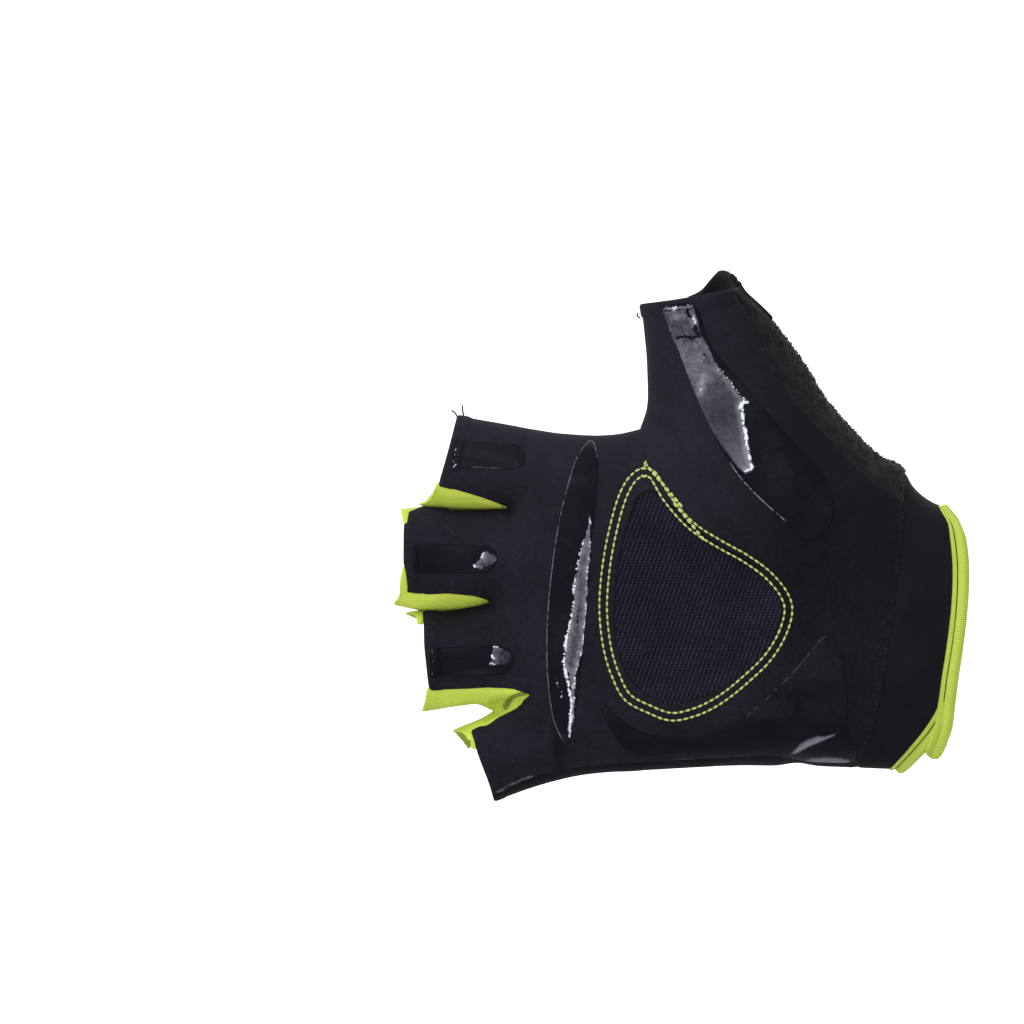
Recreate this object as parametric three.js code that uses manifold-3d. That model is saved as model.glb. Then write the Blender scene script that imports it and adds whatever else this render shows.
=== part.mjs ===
// A fingerless weightlifting glove for a right hand, in the form it has when worn: palm towards -Y,
// fingers towards -X, thumb towards +Z. Millimetres. The origin is the centre of the wrist opening.
//
// The hand form is a flat outline that is blown up: from the outline inwards its half thickness
// grows like a quarter ellipse over a rounding width, and then follows the depths of palm and back.
// Every panel is a piece of the wall between that form and the same form moved in by CLOTH.
import * as THREE from 'three';
import { mergeVertices } from 'three/addons/utils/BufferGeometryUtils.js';
import Module from 'manifold-3d';

const wasm = await Module();
wasm.setup();

const CLOTH = 1.4; // wall of suede, stretch cloth and gussets
const SEAM_GAP = 0.3; // clear width between two pieces that are sewn together
const GRIP = { lift: 0.3, height: 0.9 }; // silicone above the suede
const MESH_DROP = 0.45; // the mesh lies this far below the suede
const BINDING = { out: 0.9, in: 2.3 }; // elastic above and below the cloth's outer face
const ROW = 4.32; // height of a row of facets, five to a finger
const LAYER = 5.4; // spacing of the facets through the hand's depth
const REACH = 60; // half depth of a cutting prism
const FAR_WRIST = 80; // X of a place beyond the wrist
const FAR_FINGERS = -200; // X of a place beyond the fingers

// Half thickness towards the palm and the back, and rounding width, by distance from the wrist.
const DEPTHS = [
  { x: -140, palm: 8.4, back: 8.6, round: 9.6 },
  { x: -118, palm: 9.0, back: 9.4, round: 9.6 },
  { x: -100, palm: 11.0, back: 11.0, round: 10.0 },
  { x: -84, palm: 12.4, back: 13.2, round: 12.5 },
  { x: -60, palm: 13.0, back: 14.2, round: 14.5 },
  { x: -35, palm: 16.0, back: 15.5, round: 18.0 },
  { x: -12, palm: 19.0, back: 17.5, round: 24.0 },
  { x: 10, palm: 20.0, back: 18.5, round: 27.0 },
  { x: 30, palm: 20.5, back: 19.0, round: 28.0 },
];

// Soft rises and hollows of the two faces: centre, radius and height above the depths.
const PALM_PADS = [
  { name: 'thumb ball', x: -44, z: 33, radius: 19, height: 4.6 },
  { name: 'heel below the little finger', x: -42, z: -13, radius: 19, height: 2.8 },
  { name: 'hollow of the palm', x: -67, z: 7, radius: 17, height: -2.4 },
  { name: 'pad below the index', x: -90, z: 37, radius: 11, height: 1.6 },
  { name: 'pad below the middle finger', x: -93, z: 17, radius: 10, height: 1.4 },
  { name: 'pad below the ring finger', x: -92, z: -3, radius: 10, height: 1.4 },
  { name: 'pad below the little finger', x: -84, z: -22, radius: 10, height: 1.4 },
];
const BACK_PADS = [
  { name: 'index knuckle', x: -89, z: 37, radius: 9, height: 2.4 },
  { name: 'middle knuckle', x: -92, z: 17, radius: 9, height: 2.8 },
  { name: 'ring knuckle', x: -89, z: -3, radius: 9, height: 2.4 },
  { name: 'little knuckle', x: -82, z: -20, radius: 8, height: 1.8 },
];

// The thumb is rounder than the palm and stands towards the palm side; the fingers curl that way too.
const THUMB = { from: 42, to: 66, round: 10.6, palm: 11.5, back: 11.0, forward: 6.0, reach: 84 };
const CURL = { from: -100, drop: 0.0045 };

// Outline of the worn glove, run by run between its corners. Fingers, thumb and wrist go on past
// their hems, which are cut afterwards.
const OUTLINE = {
  wristTop: [{ x: 26, z: 25.7 }, { x: 8, z: 27.8 }, { x: -3.2, z: 30.7 }, { x: -8.3, z: 34.2 },
    { x: -11.8, z: 38.2 }, { x: -15.2, z: 40.5 }],
  thumbOuter: [{ x: -15.2, z: 40.5 }, { x: -20.2, z: 45.1 }, { x: -27.6, z: 53.8 },
    { x: -33.6, z: 62.3 }, { x: -39.6, z: 71.1 }, { x: -48.4, z: 81.5 }, { x: -54, z: 92 }],
  thumbInner: [{ x: -74.4, z: 89 }, { x: -71.4, z: 76.6 }, { x: -70.3, z: 69.5 },
    { x: -69.6, z: 60.3 }, { x: -69.7, z: 52.6 }, { x: -71.3, z: 47.8 }],
  indexTop: [{ x: -71.3, z: 47.8 }, { x: -77, z: 46.7 }, { x: -84, z: 46.5 }, { x: -95.5, z: 47.6 },
    { x: -105, z: 49.5 }, { x: -113.4, z: 50.9 }, { x: -131, z: 53.2 }],
  indexLow: [{ x: -134, z: 32.6 }, { x: -121, z: 30.6 }, { x: -109, z: 30.0 }, { x: -101.7, z: 29.7 }],
  middleTop: [{ x: -101.7, z: 29.7 }, { x: -112, z: 29.5 }, { x: -124.4, z: 29.2 }, { x: -139, z: 28.8 }],
  middleLow: [{ x: -140, z: 8.2 }, { x: -127, z: 7.4 }, { x: -115, z: 7.7 }, { x: -105.8, z: 8.2 }],
  ringTop: [{ x: -105.8, z: 8.2 }, { x: -113, z: 7.0 }, { x: -121.7, z: 5.8 }, { x: -136, z: 4.0 }],
  ringLow: [{ x: -137, z: -18.4 }, { x: -121.7, z: -16.8 }, { x: -108, z: -15.5 }, { x: -97, z: -13.6 }],
  littleTop: [{ x: -97, z: -13.6 }, { x: -104.5, z: -17.6 }, { x: -113.6, z: -21.6 }, { x: -127, z: -26 }],
  heelSide: [{ x: -121, z: -42.5 }, { x: -104.7, z: -37.7 }, { x: -95.5, z: -34.5 }, { x: -84, z: -31.6 },
    { x: -71.3, z: -30.5 }, { x: -57.5, z: -29.6 }, { x: -39.1, z: -28.8 }, { x: -22, z: -29.6 },
    { x: -4, z: -30.4 }, { x: 10, z: -32.4 }, { x: 26, z: -35.5 }],
};

// Where the slits between fingers end, and how their middle lines slope towards the hems.
const SLITS = [
  { name: 'ring and little', x: -97, z: -13.6, slope: 0.27 },
  { name: 'middle and ring', x: -105.8, z: 8.2, slope: 0.075 },
  { name: 'index and middle', x: -101.7, z: 29.7, slope: -0.032 },
];
const SLIT_STEP = 5 * ROW; // rows of facets between two slits
const THUMB_ROWS = { // rows stand wider along the thumb
  from: { s: SLITS[1].z + 10 * ROW, z: 50.5 },
  to: { s: SLITS[1].z + 17 * ROW, z: 98 },
};

// Spacing of the facets along the hand: closer across the thumb, which is narrow that way.
const COLUMNS = [
  { from: -141, step: 8.1 },
  { from: -76.2, step: 5.2 },
  { from: -45, step: 8.4 },
  { from: 31, step: 8.4 },
];

// Seams and hems, as lines in the X-Z plane.
const CUFF_SEAM = [{ x: -10.7, z: 60 }, { x: -10.7, z: 31.5 }, { x: -10.7, z: 26.7 },
  { x: -11.8, z: 16.1 }, { x: -13.6, z: 2.8 }, { x: -16.1, z: -13.8 }, { x: -18.5, z: -22.3 },
  { x: -21.5, z: -32 }, { x: -23, z: -50 }];
const WRIST_EDGE = [{ x: -3.4, z: 60 }, { x: -3.3, z: 30.4 }, { x: -0.7, z: 26 }, { x: 0.5, z: 18 },
  { x: 0.3, z: 8 }, { x: -0.6, z: -0.7 }, { x: -1.9, z: -9 }, { x: -3.2, z: -17 }, { x: -5.7, z: -21.4 },
  { x: -9, z: -25.5 }, { x: -14, z: -31.1 }, { x: -17, z: -36 }, { x: -17, z: -50 }];
const BINDING_EDGE = [{ x: 0.6, z: 60 }, { x: 0.6, z: 30 }, { x: 3.1, z: 25 }, { x: 4.5, z: 16 },
  { x: 4.4, z: 8 }, { x: 3.6, z: -1 }, { x: 2.4, z: -10 }, { x: 0.9, z: -18.5 }, { x: -1.6, z: -23.6 },
  { x: -5.8, z: -27.8 }, { x: -10.6, z: -32.8 }, { x: -13, z: -37 }, { x: -13, z: -50 }];
const SIDE_SEAM = [{ x: -120, z: -39.5 }, { x: -104.2, z: -35.8 }, { x: -95.9, z: -32.4 },
  { x: -84, z: -29.9 }, { x: -61.2, z: -28.4 }, { x: -41.9, z: -27.4 }, { x: -28, z: -27.6 },
  { x: -5, z: -28.6 }];
const TERRY_SEAM = [{ x: -5, z: 28 }, { x: -10.1, z: 31.1 }, { x: -15, z: 34.1 }, { x: -20.7, z: 38.5 },
  { x: -29.9, z: 48.2 }, { x: -35.4, z: 54 }, { x: -39.6, z: 60 }, { x: -42.8, z: 66.5 },
  { x: -46.5, z: 73.4 }, { x: -49.9, z: 79.4 }, { x: -54, z: 90 }];
const TERRY_BACK_SEAM = [{ x: -64, z: 96 }, { x: -61, z: 78 }, { x: -57, z: 62 }, { x: -48, z: 48 },
  { x: -34, z: 37 }, { x: -20, z: 29.5 }, { x: -5, z: 26 }];
const TAB_HEMS = [{ x: -104, z: 110 }, { x: -111.6, z: 60 }, { x: -113.4, z: 51 },
  { x: -117.8, z: 34 }, { x: -118.6, z: 30.4 }, { x: -124.4, z: 29.9 }, { x: -125.6, z: 20 },
  { x: -124.9, z: 9.6 }, { x: -124.4, z: 7.0 },
  { x: -121.8, z: 6.4 }, { x: -120.8, z: -3 }, { x: -119.7, z: -12.6 }, { x: -118.7, z: -18.5 },
  { x: -110.6, z: -21.6 }, { x: -108.6, z: -27 }, { x: -104.9, z: -37.7 }, { x: -103.4, z: -50 }];
const THUMB_HEM = [{ x: -80, z: 75.8 }, { x: -71.4, z: 76.5 }, { x: -61.9, z: 77.7 }, { x: -51.5, z: 79.8 },
  { x: -40, z: 83 }];
const THUMB_BACK_HEM = [{ x: -80, z: 75.8 }, { x: -71.4, z: 76.7 }, { x: -61.9, z: 79.6 },
  { x: -55, z: 83 }, { x: -51.8, z: 84.6 }, { x: -48.9, z: 81.4 }, { x: -44, z: 79 }];

// Each gusset lines one slit. Upper and lower are its seams on the two fingers, from the crotch out.
const GUSSETS = [
  {
    name: 'fourchette_index_middle',
    crotch: { x: -100.6, z: 29.7 },
    upper: [{ x: -109.7, z: 32 }, { x: -117.7, z: 34.6 }],
    hem: [{ x: -121.3, z: 30.4 }, { x: -126.3, z: 29.4 }],
    lower: [{ x: -124.9, z: 27.3 }, { x: -112, z: 28.1 }],
  },
  {
    name: 'fourchette_middle_ring',
    crotch: { x: -104.6, z: 8.2 },
    upper: [{ x: -108.8, z: 9.3 }, { x: -119.6, z: 9.8 }, { x: -125, z: 10.4 }],
    hem: [{ x: -128.2, z: 6.9 }, { x: -123.8, z: 4.8 }],
    lower: [{ x: -121.7, z: 4.0 }, { x: -112, z: 5.8 }],
  },
  {
    name: 'fourchette_ring_little',
    crotch: { x: -95.8, z: -13.3 },
    upper: [{ x: -101.2, z: -12.1 }, { x: -105.6, z: -11.5 }, { x: -110.4, z: -12 }, { x: -120, z: -12.7 }],
    hem: [{ x: -121.6, z: -17.4 }, { x: -114, z: -21.8 }],
    lower: [{ x: -110.6, z: -25.9 }, { x: -109, z: -22.6 }, { x: -104.3, z: -18.9 }, { x: -99.6, z: -16.1 }],
  },
];

// The window of the mesh inset and the silicone prints, as closed outlines.
const MESH_WINDOW = [{ x: -69, z: 33.6 }, { x: -57.5, z: 23.7 }, { x: -46.5, z: 17 }, { x: -41.2, z: 12.2 },
  { x: -38.9, z: 6.7 }, { x: -41.4, z: -1 }, { x: -46.8, z: -7.6 }, { x: -56, z: -13.2 },
  { x: -64.4, z: -15.4 }, { x: -71, z: -12.4 }, { x: -75, z: -6.7 }, { x: -77, z: 2.8 },
  { x: -76.6, z: 14.5 }, { x: -74.3, z: 25.5 }, { x: -71.8, z: 32.2 }];
const GRIPS = [
  {
    name: 'grip_palm_bar',
    outline: [{ x: -82.2, z: 45.1 }, { x: -85.1, z: 42.2 }, { x: -87.9, z: 34 }, { x: -90, z: 24 },
      { x: -91.6, z: 12 }, { x: -92.4, z: 0 }, { x: -92, z: -11.1 }, { x: -90.6, z: -19.6 },
      { x: -88, z: -24.4 }, { x: -86.8, z: -20 }, { x: -85.2, z: -9 }, { x: -83.8, z: 5 },
      { x: -82.7, z: 20 }, { x: -81.4, z: 33 }, { x: -81.1, z: 41.5 }],
  },
  {
    name: 'grip_thumb',
    outline: [{ x: -65.8, z: 75.4 }, { x: -62.1, z: 64.6 }, { x: -56.1, z: 49.9 }, { x: -48.8, z: 37 },
      { x: -39.1, z: 27.4 }, { x: -32, z: 22.2 }, { x: -27.6, z: 26.4 }, { x: -28.1, z: 35.2 },
      { x: -36.8, z: 45.3 }, { x: -46.5, z: 56.4 }, { x: -56.1, z: 68.3 }, { x: -60.2, z: 76 }],
  },
  {
    name: 'grip_heel',
    outline: [{ x: -80.3, z: -15.2 }, { x: -71.3, z: -21.6 }, { x: -57.5, z: -22.8 }, { x: -46.9, z: -17.7 },
      { x: -36.8, z: -8.3 }, { x: -27.8, z: 0.7 }, { x: -24.2, z: -10 }, { x: -25, z: -20 },
      { x: -28.4, z: -25.2 }, { x: -42, z: -25.6 }, { x: -60, z: -26.6 }, { x: -74, z: -26.4 }],
  },
];
const FINGER_GRIPS = [
  { name: 'grip_index', hem: -114.8, end: -98.2, z: 41.2, width: 4.8, tilt: 0.03 },
  { name: 'grip_middle', hem: -123.4, end: -104.2, z: 18.0, width: 6.4, tilt: 0 },
  { name: 'grip_ring', hem: -119.6, end: -100.4, z: -5.2, width: 6.6, tilt: -0.03 },
];
// The pull tab lies flat on the thumb's outer side, just below the hem.
const PULL_TAB = {
  outline: [{ x: -49.6, z: 79.6 }, { x: -43.4, z: 66.4 }, { x: -30, z: 70.5 }, { x: -40, z: 88 }],
  yFrom: -1.5, yTo: 7.5, lift: 0.3, height: 1.5,
};

const COLOURS = {
  suede: { color: 0x222329, roughness: 0.88 },
  stretch: { color: 0x1f2024, roughness: 0.8 },
  mesh: { color: 0x1e1f2e, roughness: 0.7 },
  terry: { color: 0x2c2f2d, roughness: 0.97 },
  neon: { color: 0xc2dc3c, roughness: 0.62 },
  binding: { color: 0xb4d238, roughness: 0.66 },
  silicone: { color: 0x0b0b0f, roughness: 0.16 },
};

// Value of a table's column at a place between its rows.
function along(table, key, column, at) {
  let i = 1;
  while (i < table.length - 1 && at > table[i][key]) i += 1;
  const [a, b] = [table[i - 1], table[i]];
  const t = THREE.MathUtils.clamp((at - a[key]) / (b[key] - a[key]), 0, 1);
  return THREE.MathUtils.lerp(a[column], b[column], t * t * (3 - 2 * t));
}

// Points of a smooth line through the named ones, about step apart.
function smooth(points, step = 3.4, closed = false) {
  const through = points.map((p) => new THREE.Vector3(p.x, 0, p.z));
  const curve = new THREE.CatmullRomCurve3(through, closed, 'centripetal');
  const count = Math.max(points.length, Math.round(curve.getLength() / step));
  const line = curve.getSpacedPoints(count).map((p) => ({ x: p.x, z: p.z }));
  return closed ? line.slice(0, -1) : line;
}

const outline = Object.values(OUTLINE).flatMap((run) => smooth(run).slice(0, -1))
  .concat(OUTLINE.heelSide.slice(-1));

// Signed distance from the outline in the X-Z plane, positive inside.
function inside(x, z) {
  let nearest = Infinity;
  let within = false;
  for (let i = 0, j = outline.length - 1; i < outline.length; j = i, i += 1) {
    const [a, b] = [outline[j], outline[i]];
    const [ex, ez] = [b.x - a.x, b.z - a.z];
    const t = THREE.MathUtils.clamp(((x - a.x) * ex + (z - a.z) * ez) / (ex * ex + ez * ez || 1), 0, 1);
    nearest = Math.min(nearest, Math.hypot(x - a.x - t * ex, z - a.z - t * ez));
    if (a.z > z !== b.z > z && x < a.x + ((z - a.z) / (b.z - a.z)) * ex) within = !within;
  }
  return within ? nearest : -nearest;
}

const pads = (list, x, z) => list.reduce(
  (sum, p) => sum + p.height * Math.exp(-((x - p.x) ** 2 + (z - p.z) ** 2) / p.radius ** 2), 0);

// How far a place belongs to the thumb, from 0 to 1.
function thumbShare(x, z) {
  return THREE.MathUtils.smoothstep(z, THUMB.from, THUMB.to) * THREE.MathUtils.smoothstep(-x, 5, 25);
}

// Below zero inside the hand form, zero on its face.
function form(x, y, z) {
  const thumb = thumbShare(x, z);
  const mix = (column, value) => THREE.MathUtils.lerp(along(DEPTHS, 'x', column, x), value, thumb);
  const depth = y < 0 ? mix('palm', THUMB.palm) + pads(PALM_PADS, x, z)
    : mix('back', THUMB.back) + pads(BACK_PADS, x, z);
  const edge = 1 - Math.min(inside(x, z) / mix('round', THUMB.round), 1);
  return Math.hypot(edge, y / depth) - 1;
}

// The whole glove leans: thumb and finger ends stand towards the palm side.
function lean(x, z) {
  const thumb = THUMB.forward * THREE.MathUtils.smoothstep(z, THUMB.from, THUMB.reach);
  const reach = Math.max(CURL.from - x, 0);
  return -thumb - CURL.drop * reach * reach;
}

// Height of facet row s at x: rows lie on the slits, so that no facet bridges two fingers.
function rowHeight(s, x) {
  const knots = [{ s: -120, z: -120 }];
  SLITS.forEach((slit, i) => knots.push({
    s: SLITS[1].z + (i - 1) * SLIT_STEP,
    z: slit.z + slit.slope * Math.min(x - slit.x, 0),
  }));
  knots.push(THUMB_ROWS.from, THUMB_ROWS.to);
  let i = 1;
  while (i < knots.length - 1 && s > knots[i].s) i += 1;
  const t = (s - knots[i - 1].s) / (knots[i].s - knots[i - 1].s);
  return THREE.MathUtils.lerp(knots[i - 1].z, knots[i].z, t);
}

const steps = (from, to, step) => Array.from({ length: Math.round((to - from) / step) },
  (_, i) => from + i * step);

function gradient(p) {
  const h = 0.05;
  return new THREE.Vector3(
    form(p.x + h, p.y, p.z) - form(p.x - h, p.y, p.z),
    form(p.x, p.y + h, p.z) - form(p.x, p.y - h, p.z),
    form(p.x, p.y, p.z + h) - form(p.x, p.y, p.z - h),
  ).divideScalar(2 * h);
}

// Facets of the hand form: one point in each grid cell that its face crosses, moved onto the face.
function formFacets() {
  const xs = COLUMNS.slice(1).flatMap((end, i) => steps(COLUMNS[i].from, end.from, COLUMNS[i].step));
  const ys = steps(-33.1, 33, LAYER);
  const rows = steps(SLITS[1].z - 13 * ROW, THUMB_ROWS.to.s + ROW / 2, ROW);
  const node = (i, j, k) => new THREE.Vector3(xs[i], ys[j], rowHeight(rows[k], xs[i]));
  const id = (i, j, k) => (i * ys.length + j) * rows.length + k;
  const value = new Float64Array(xs.length * ys.length * rows.length).fill(1);
  for (let i = 1; i < xs.length - 1; i += 1)
    for (let j = 1; j < ys.length - 1; j += 1)
      for (let k = 1; k < rows.length - 1; k += 1) {
        const p = node(i, j, k);
        value[id(i, j, k)] = form(p.x, p.y, p.z);
      }
  const corners = [0, 1, 2, 3, 4, 5, 6, 7].map((c) => [c & 1, (c >> 1) & 1, c >> 2]);
  const edges = corners.flatMap((a, i) => corners.slice(i + 1)
    .filter((b) => a.reduce((sum, v, axis) => sum + Math.abs(v - b[axis]), 0) === 1)
    .map((b) => [a, b]));
  const points = [];
  const cell = new Map();
  for (let i = 0; i < xs.length - 1; i += 1)
    for (let j = 0; j < ys.length - 1; j += 1)
      for (let k = 0; k < rows.length - 1; k += 1) {
        const sum = new THREE.Vector3();
        let crossings = 0;
        for (const [a, b] of edges) {
          const va = value[id(i + a[0], j + a[1], k + a[2])];
          const vb = value[id(i + b[0], j + b[1], k + b[2])];
          if (va < 0 === vb < 0) continue;
          const start = node(i + a[0], j + a[1], k + a[2]);
          sum.add(start.lerp(node(i + b[0], j + b[1], k + b[2]), va / (va - vb)));
          crossings += 1;
        }
        if (crossings === 0) continue;
        cell.set(id(i, j, k), points.length);
        points.push(settle(sum.divideScalar(crossings)));
      }
  const triangles = [];
  const turns = [[[0, 1, 0], [0, 0, 1]], [[0, 0, 1], [1, 0, 0]], [[1, 0, 0], [0, 1, 0]]];
  const forward = [[1, 0, 0], [0, 1, 0], [0, 0, 1]];
  for (let i = 0; i < xs.length - 1; i += 1)
    for (let j = 0; j < ys.length - 1; j += 1)
      for (let k = 0; k < rows.length - 1; k += 1)
        forward.forEach((step, axis) => {
          const here = value[id(i, j, k)];
          const next = value[id(i + step[0], j + step[1], k + step[2])];
          if (here < 0 === next < 0) return;
          const [u, v] = turns[axis];
          const around = [[0, 0], [1, 0], [1, 1], [0, 1]].map(([m, n]) => cell.get(
            id(i - m * u[0] - n * v[0], j - m * u[1] - n * v[1], k - m * u[2] - n * v[2])));
          const [a, b, c, d] = here < 0 ? around : around.reverse();
          const straight = points[a].distanceTo(points[c]) < points[b].distanceTo(points[d]);
          if (straight) triangles.push(a, b, c, a, c, d);
          else triangles.push(a, b, d, b, c, d);
        });
  return { points, normals: points.map((p) => gradient(p).normalize()), triangles };
}

// Moves a point onto the face of the hand form, along the steepest way.
function settle(point) {
  for (let round = 0; round < 5; round += 1) {
    const slope = gradient(point);
    const move = slope.multiplyScalar(-form(point.x, point.y, point.z) / Math.max(slope.lengthSq(), 1e-6));
    point.add(move.clampLength(0, 1));
  }
  return point;
}

// A closed geometry as a solid, with its shared corners merged.
function solidOf(geometry) {
  geometry.deleteAttribute('normal');
  geometry.deleteAttribute('uv');
  const merged = mergeVertices(geometry, 1e-4);
  return new wasm.Manifold(new wasm.Mesh({
    numProp: 3,
    vertProperties: new Float32Array(merged.attributes.position.array),
    triVerts: new Uint32Array(merged.index.array),
  }));
}

// The hand form moved out (or in, where negative) by a distance, as a solid.
// Prints lie on the faces only: with flatOnly the move fades out where the form turns to its sides.
function layer(facets, distance, flatOnly = false) {
  const position = facets.points.flatMap((p, i) => {
    const n = facets.normals[i];
    const share = flatOnly ? THREE.MathUtils.smoothstep(Math.abs(n.y), 0.15, 0.4) : 1;
    return [p.x + n.x * distance * share, p.y + n.y * distance * share, p.z + n.z * distance * share];
  });
  return new wasm.Manifold(new wasm.Mesh({
    numProp: 3,
    vertProperties: new Float32Array(position),
    triVerts: new Uint32Array(facets.triangles),
  }));
}

// A closed outline in the X-Z plane, drawn through the cloth from yFrom to yTo.
function prism(points, yFrom = -REACH, yTo = REACH) {
  const shape = new THREE.Shape(points.map((p) => new THREE.Vector2(p.x, p.z)));
  const geometry = new THREE.ExtrudeGeometry(shape, { depth: yTo - yFrom, bevelEnabled: false });
  geometry.rotateX(Math.PI / 2);
  geometry.translate(0, yTo, 0);
  return solidOf(geometry);
}

// The same outline moved outwards by an amount.
function grown(points, amount) {
  const turn = THREE.ShapeUtils.isClockWise(points.map((p) => new THREE.Vector2(p.x, p.z))) ? -1 : 1;
  return points.map((p, i) => {
    const before = points[(i + points.length - 1) % points.length];
    const after = points[(i + 1) % points.length];
    const a = new THREE.Vector2(p.x - before.x, p.z - before.z).normalize();
    const b = new THREE.Vector2(after.x - p.x, after.z - p.z).normalize();
    const out = new THREE.Vector2(a.y + b.y, -a.x - b.x).normalize();
    const stretch = Math.min(1 / Math.max(out.dot(new THREE.Vector2(a.y, -a.x)), 0.3), 2);
    return { x: p.x + out.x * amount * stretch * turn, z: p.z + out.y * amount * stretch * turn };
  });
}

const line = (points) => smooth(points, 7);
const back = (points) => [...points].reverse();

// Everything on the wrist's or fingers' side of a line that crosses the whole glove.
function beyond(points, side) {
  const run = line(points);
  const far = side > 0 ? FAR_WRIST : FAR_FINGERS;
  return [...run, { x: far, z: run.at(-1).z }, { x: far, z: run[0].z }];
}

function palmOutline() {
  const low = line(SIDE_SEAM).filter((p) => p.x > -109 && p.x < -21.5);
  const right = back(line(CUFF_SEAM)).filter((p) => p.z > low.at(-1).z && p.z < 30.5);
  const up = line(TERRY_SEAM).filter((p) => p.x < -11.5 && p.z < 79.3);
  const hem = back(line(THUMB_HEM)).filter((p) => p.x < -51);
  const left = TAB_HEMS.filter((p) => p.z > -35 && p.z < 100);
  return [...low, ...right, ...up, ...hem, { x: -78, z: 58 }, ...left];
}

function terryOutlines() {
  const front = [...line(TERRY_SEAM), { x: -20, z: 90 }, { x: 10, z: 60 }];
  const rear = [...back(line(TERRY_BACK_SEAM)), { x: -20, z: 96 }, { x: 10, z: 60 }];
  return { front, rear };
}

function gussetOutline(row) {
  return [row.crotch, ...row.upper, ...row.hem, ...row.lower];
}

function fingerGripOutline(row) {
  const half = row.width / 2;
  const round = Array.from({ length: 7 }, (_, i) => {
    const turn = Math.PI / 2 - (i * Math.PI) / 6;
    return { x: row.end - half + half * Math.cos(turn), z: row.z + half * Math.sin(turn) };
  });
  const slant = (p) => ({ x: p.x, z: p.z + row.tilt * (row.end - p.x) });
  return [{ x: row.hem, z: row.z + half }, ...round, { x: row.hem, z: row.z - half }].map(slant);
}

// Gives a solid its lean and makes it a named mesh.
function mesh(name, solid, finish) {
  const parts = solid.decompose().sort((a, b) => b.volume() - a.volume());
  const { vertProperties, triVerts } = parts[0].getMesh();
  const position = new Float32Array(vertProperties);
  for (let i = 0; i < position.length; i += 3) position[i + 1] += lean(position[i], position[i + 2]);
  const geometry = new THREE.BufferGeometry();
  geometry.setAttribute('position', new THREE.BufferAttribute(position, 3));
  geometry.setIndex(new THREE.BufferAttribute(new Uint32Array(triVerts), 1));
  geometry.computeVertexNormals();
  const made = new THREE.Mesh(geometry, new THREE.MeshStandardMaterial({ ...finish, metalness: 0 }));
  made.name = name;
  return made;
}

function glove() {
  const group = new THREE.Group();
  const facets = formFacets();
  const outer = layer(facets, 0);
  const inner = layer(facets, -CLOTH);
  let cloth = outer.subtract(inner);

  // Cuts one panel out of the cloth that is left, and clears the seam round it.
  const cut = (points, yFrom = -REACH, yTo = REACH) => {
    const panel = cloth.intersect(prism(points, yFrom, yTo));
    cloth = cloth.subtract(prism(grown(points, SEAM_GAP), yFrom - SEAM_GAP, yTo + SEAM_GAP));
    return panel;
  };

  const window = smooth(MESH_WINDOW, 6.2, true);
  cut(window, -REACH, 0);
  const net = layer(facets, -MESH_DROP).subtract(inner).intersect(prism(window, -REACH, 0));

  const wrist = prism(beyond(WRIST_EDGE, 1));
  const cuffArea = beyond(CUFF_SEAM, 1);
  const cuff = cloth.intersect(prism(cuffArea)).subtract(wrist);
  cloth = cloth.subtract(prism(grown(cuffArea, SEAM_GAP)));
  const edging = layer(facets, BINDING.out).subtract(layer(facets, -BINDING.in));
  const binding = edging
    .intersect(prism(beyond(WRIST_EDGE.map((p) => ({ x: p.x + SEAM_GAP, z: p.z })), 1)))
    .intersect(prism(beyond(BINDING_EDGE, -1)));

  const gussets = GUSSETS.map((row) => [row.name, cut(gussetOutline(row))]);
  const { front, rear } = terryOutlines();
  const palm = cut(palmOutline(), -REACH, -SEAM_GAP / 2);
  const thumbEnd = prism([...line(THUMB_BACK_HEM), { x: -30, z: 78 }, { x: -30, z: 120 }, { x: -90, z: 120 }]);
  const terryArea = prism(front, -REACH, 0).add(prism(rear, -SEAM_GAP / 2, REACH));
  const terry = cloth.intersect(terryArea).subtract(thumbEnd);
  cloth = cloth.subtract(prism(grown(front, SEAM_GAP), -REACH, 0))
    .subtract(prism(grown(rear, SEAM_GAP), -SEAM_GAP, REACH))
    .subtract(thumbEnd);
  const rearPanel = cloth.intersect(prism(beyond(TAB_HEMS, 1)));

  group.add(mesh('palm_panel', palm, COLOURS.suede));
  group.add(mesh('palm_mesh_inset', net, COLOURS.mesh));
  group.add(mesh('back_panel', rearPanel, COLOURS.stretch));
  gussets.forEach(([name, solid]) => group.add(mesh(name, solid, COLOURS.neon)));
  group.add(mesh('thumb_terry_wipe', terry, COLOURS.terry));
  group.add(mesh('wrist_cuff', cuff, COLOURS.stretch));
  group.add(mesh('wrist_binding', binding, COLOURS.binding));

  const print = layer(facets, GRIP.lift + GRIP.height, true).subtract(layer(facets, GRIP.lift, true));
  const prints = [...GRIPS.map((row) => [row.name, smooth(row.outline, 6.2, true)]),
    ...FINGER_GRIPS.map((row) => [row.name, fingerGripOutline(row)])];
  prints.forEach(([name, points]) => {
    group.add(mesh(name, print.intersect(prism(points, -REACH, 0)), COLOURS.silicone));
  });

  const tab = layer(facets, PULL_TAB.lift + PULL_TAB.height).subtract(layer(facets, PULL_TAB.lift))
    .intersect(prism(PULL_TAB.outline, PULL_TAB.yFrom, PULL_TAB.yTo));
  group.add(mesh('thumb_pull_tab', tab, COLOURS.terry));
  return group;
}

export default glove();
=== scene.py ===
"""Weightlifting glove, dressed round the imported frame.

Millimetres are used for the tables and the shaping; meshes are written in metres. The palm faces
-Y, the fingers point to -X and the thumb to +Z, as in the CAD model.
"""

import math
from functools import lru_cache

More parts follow.
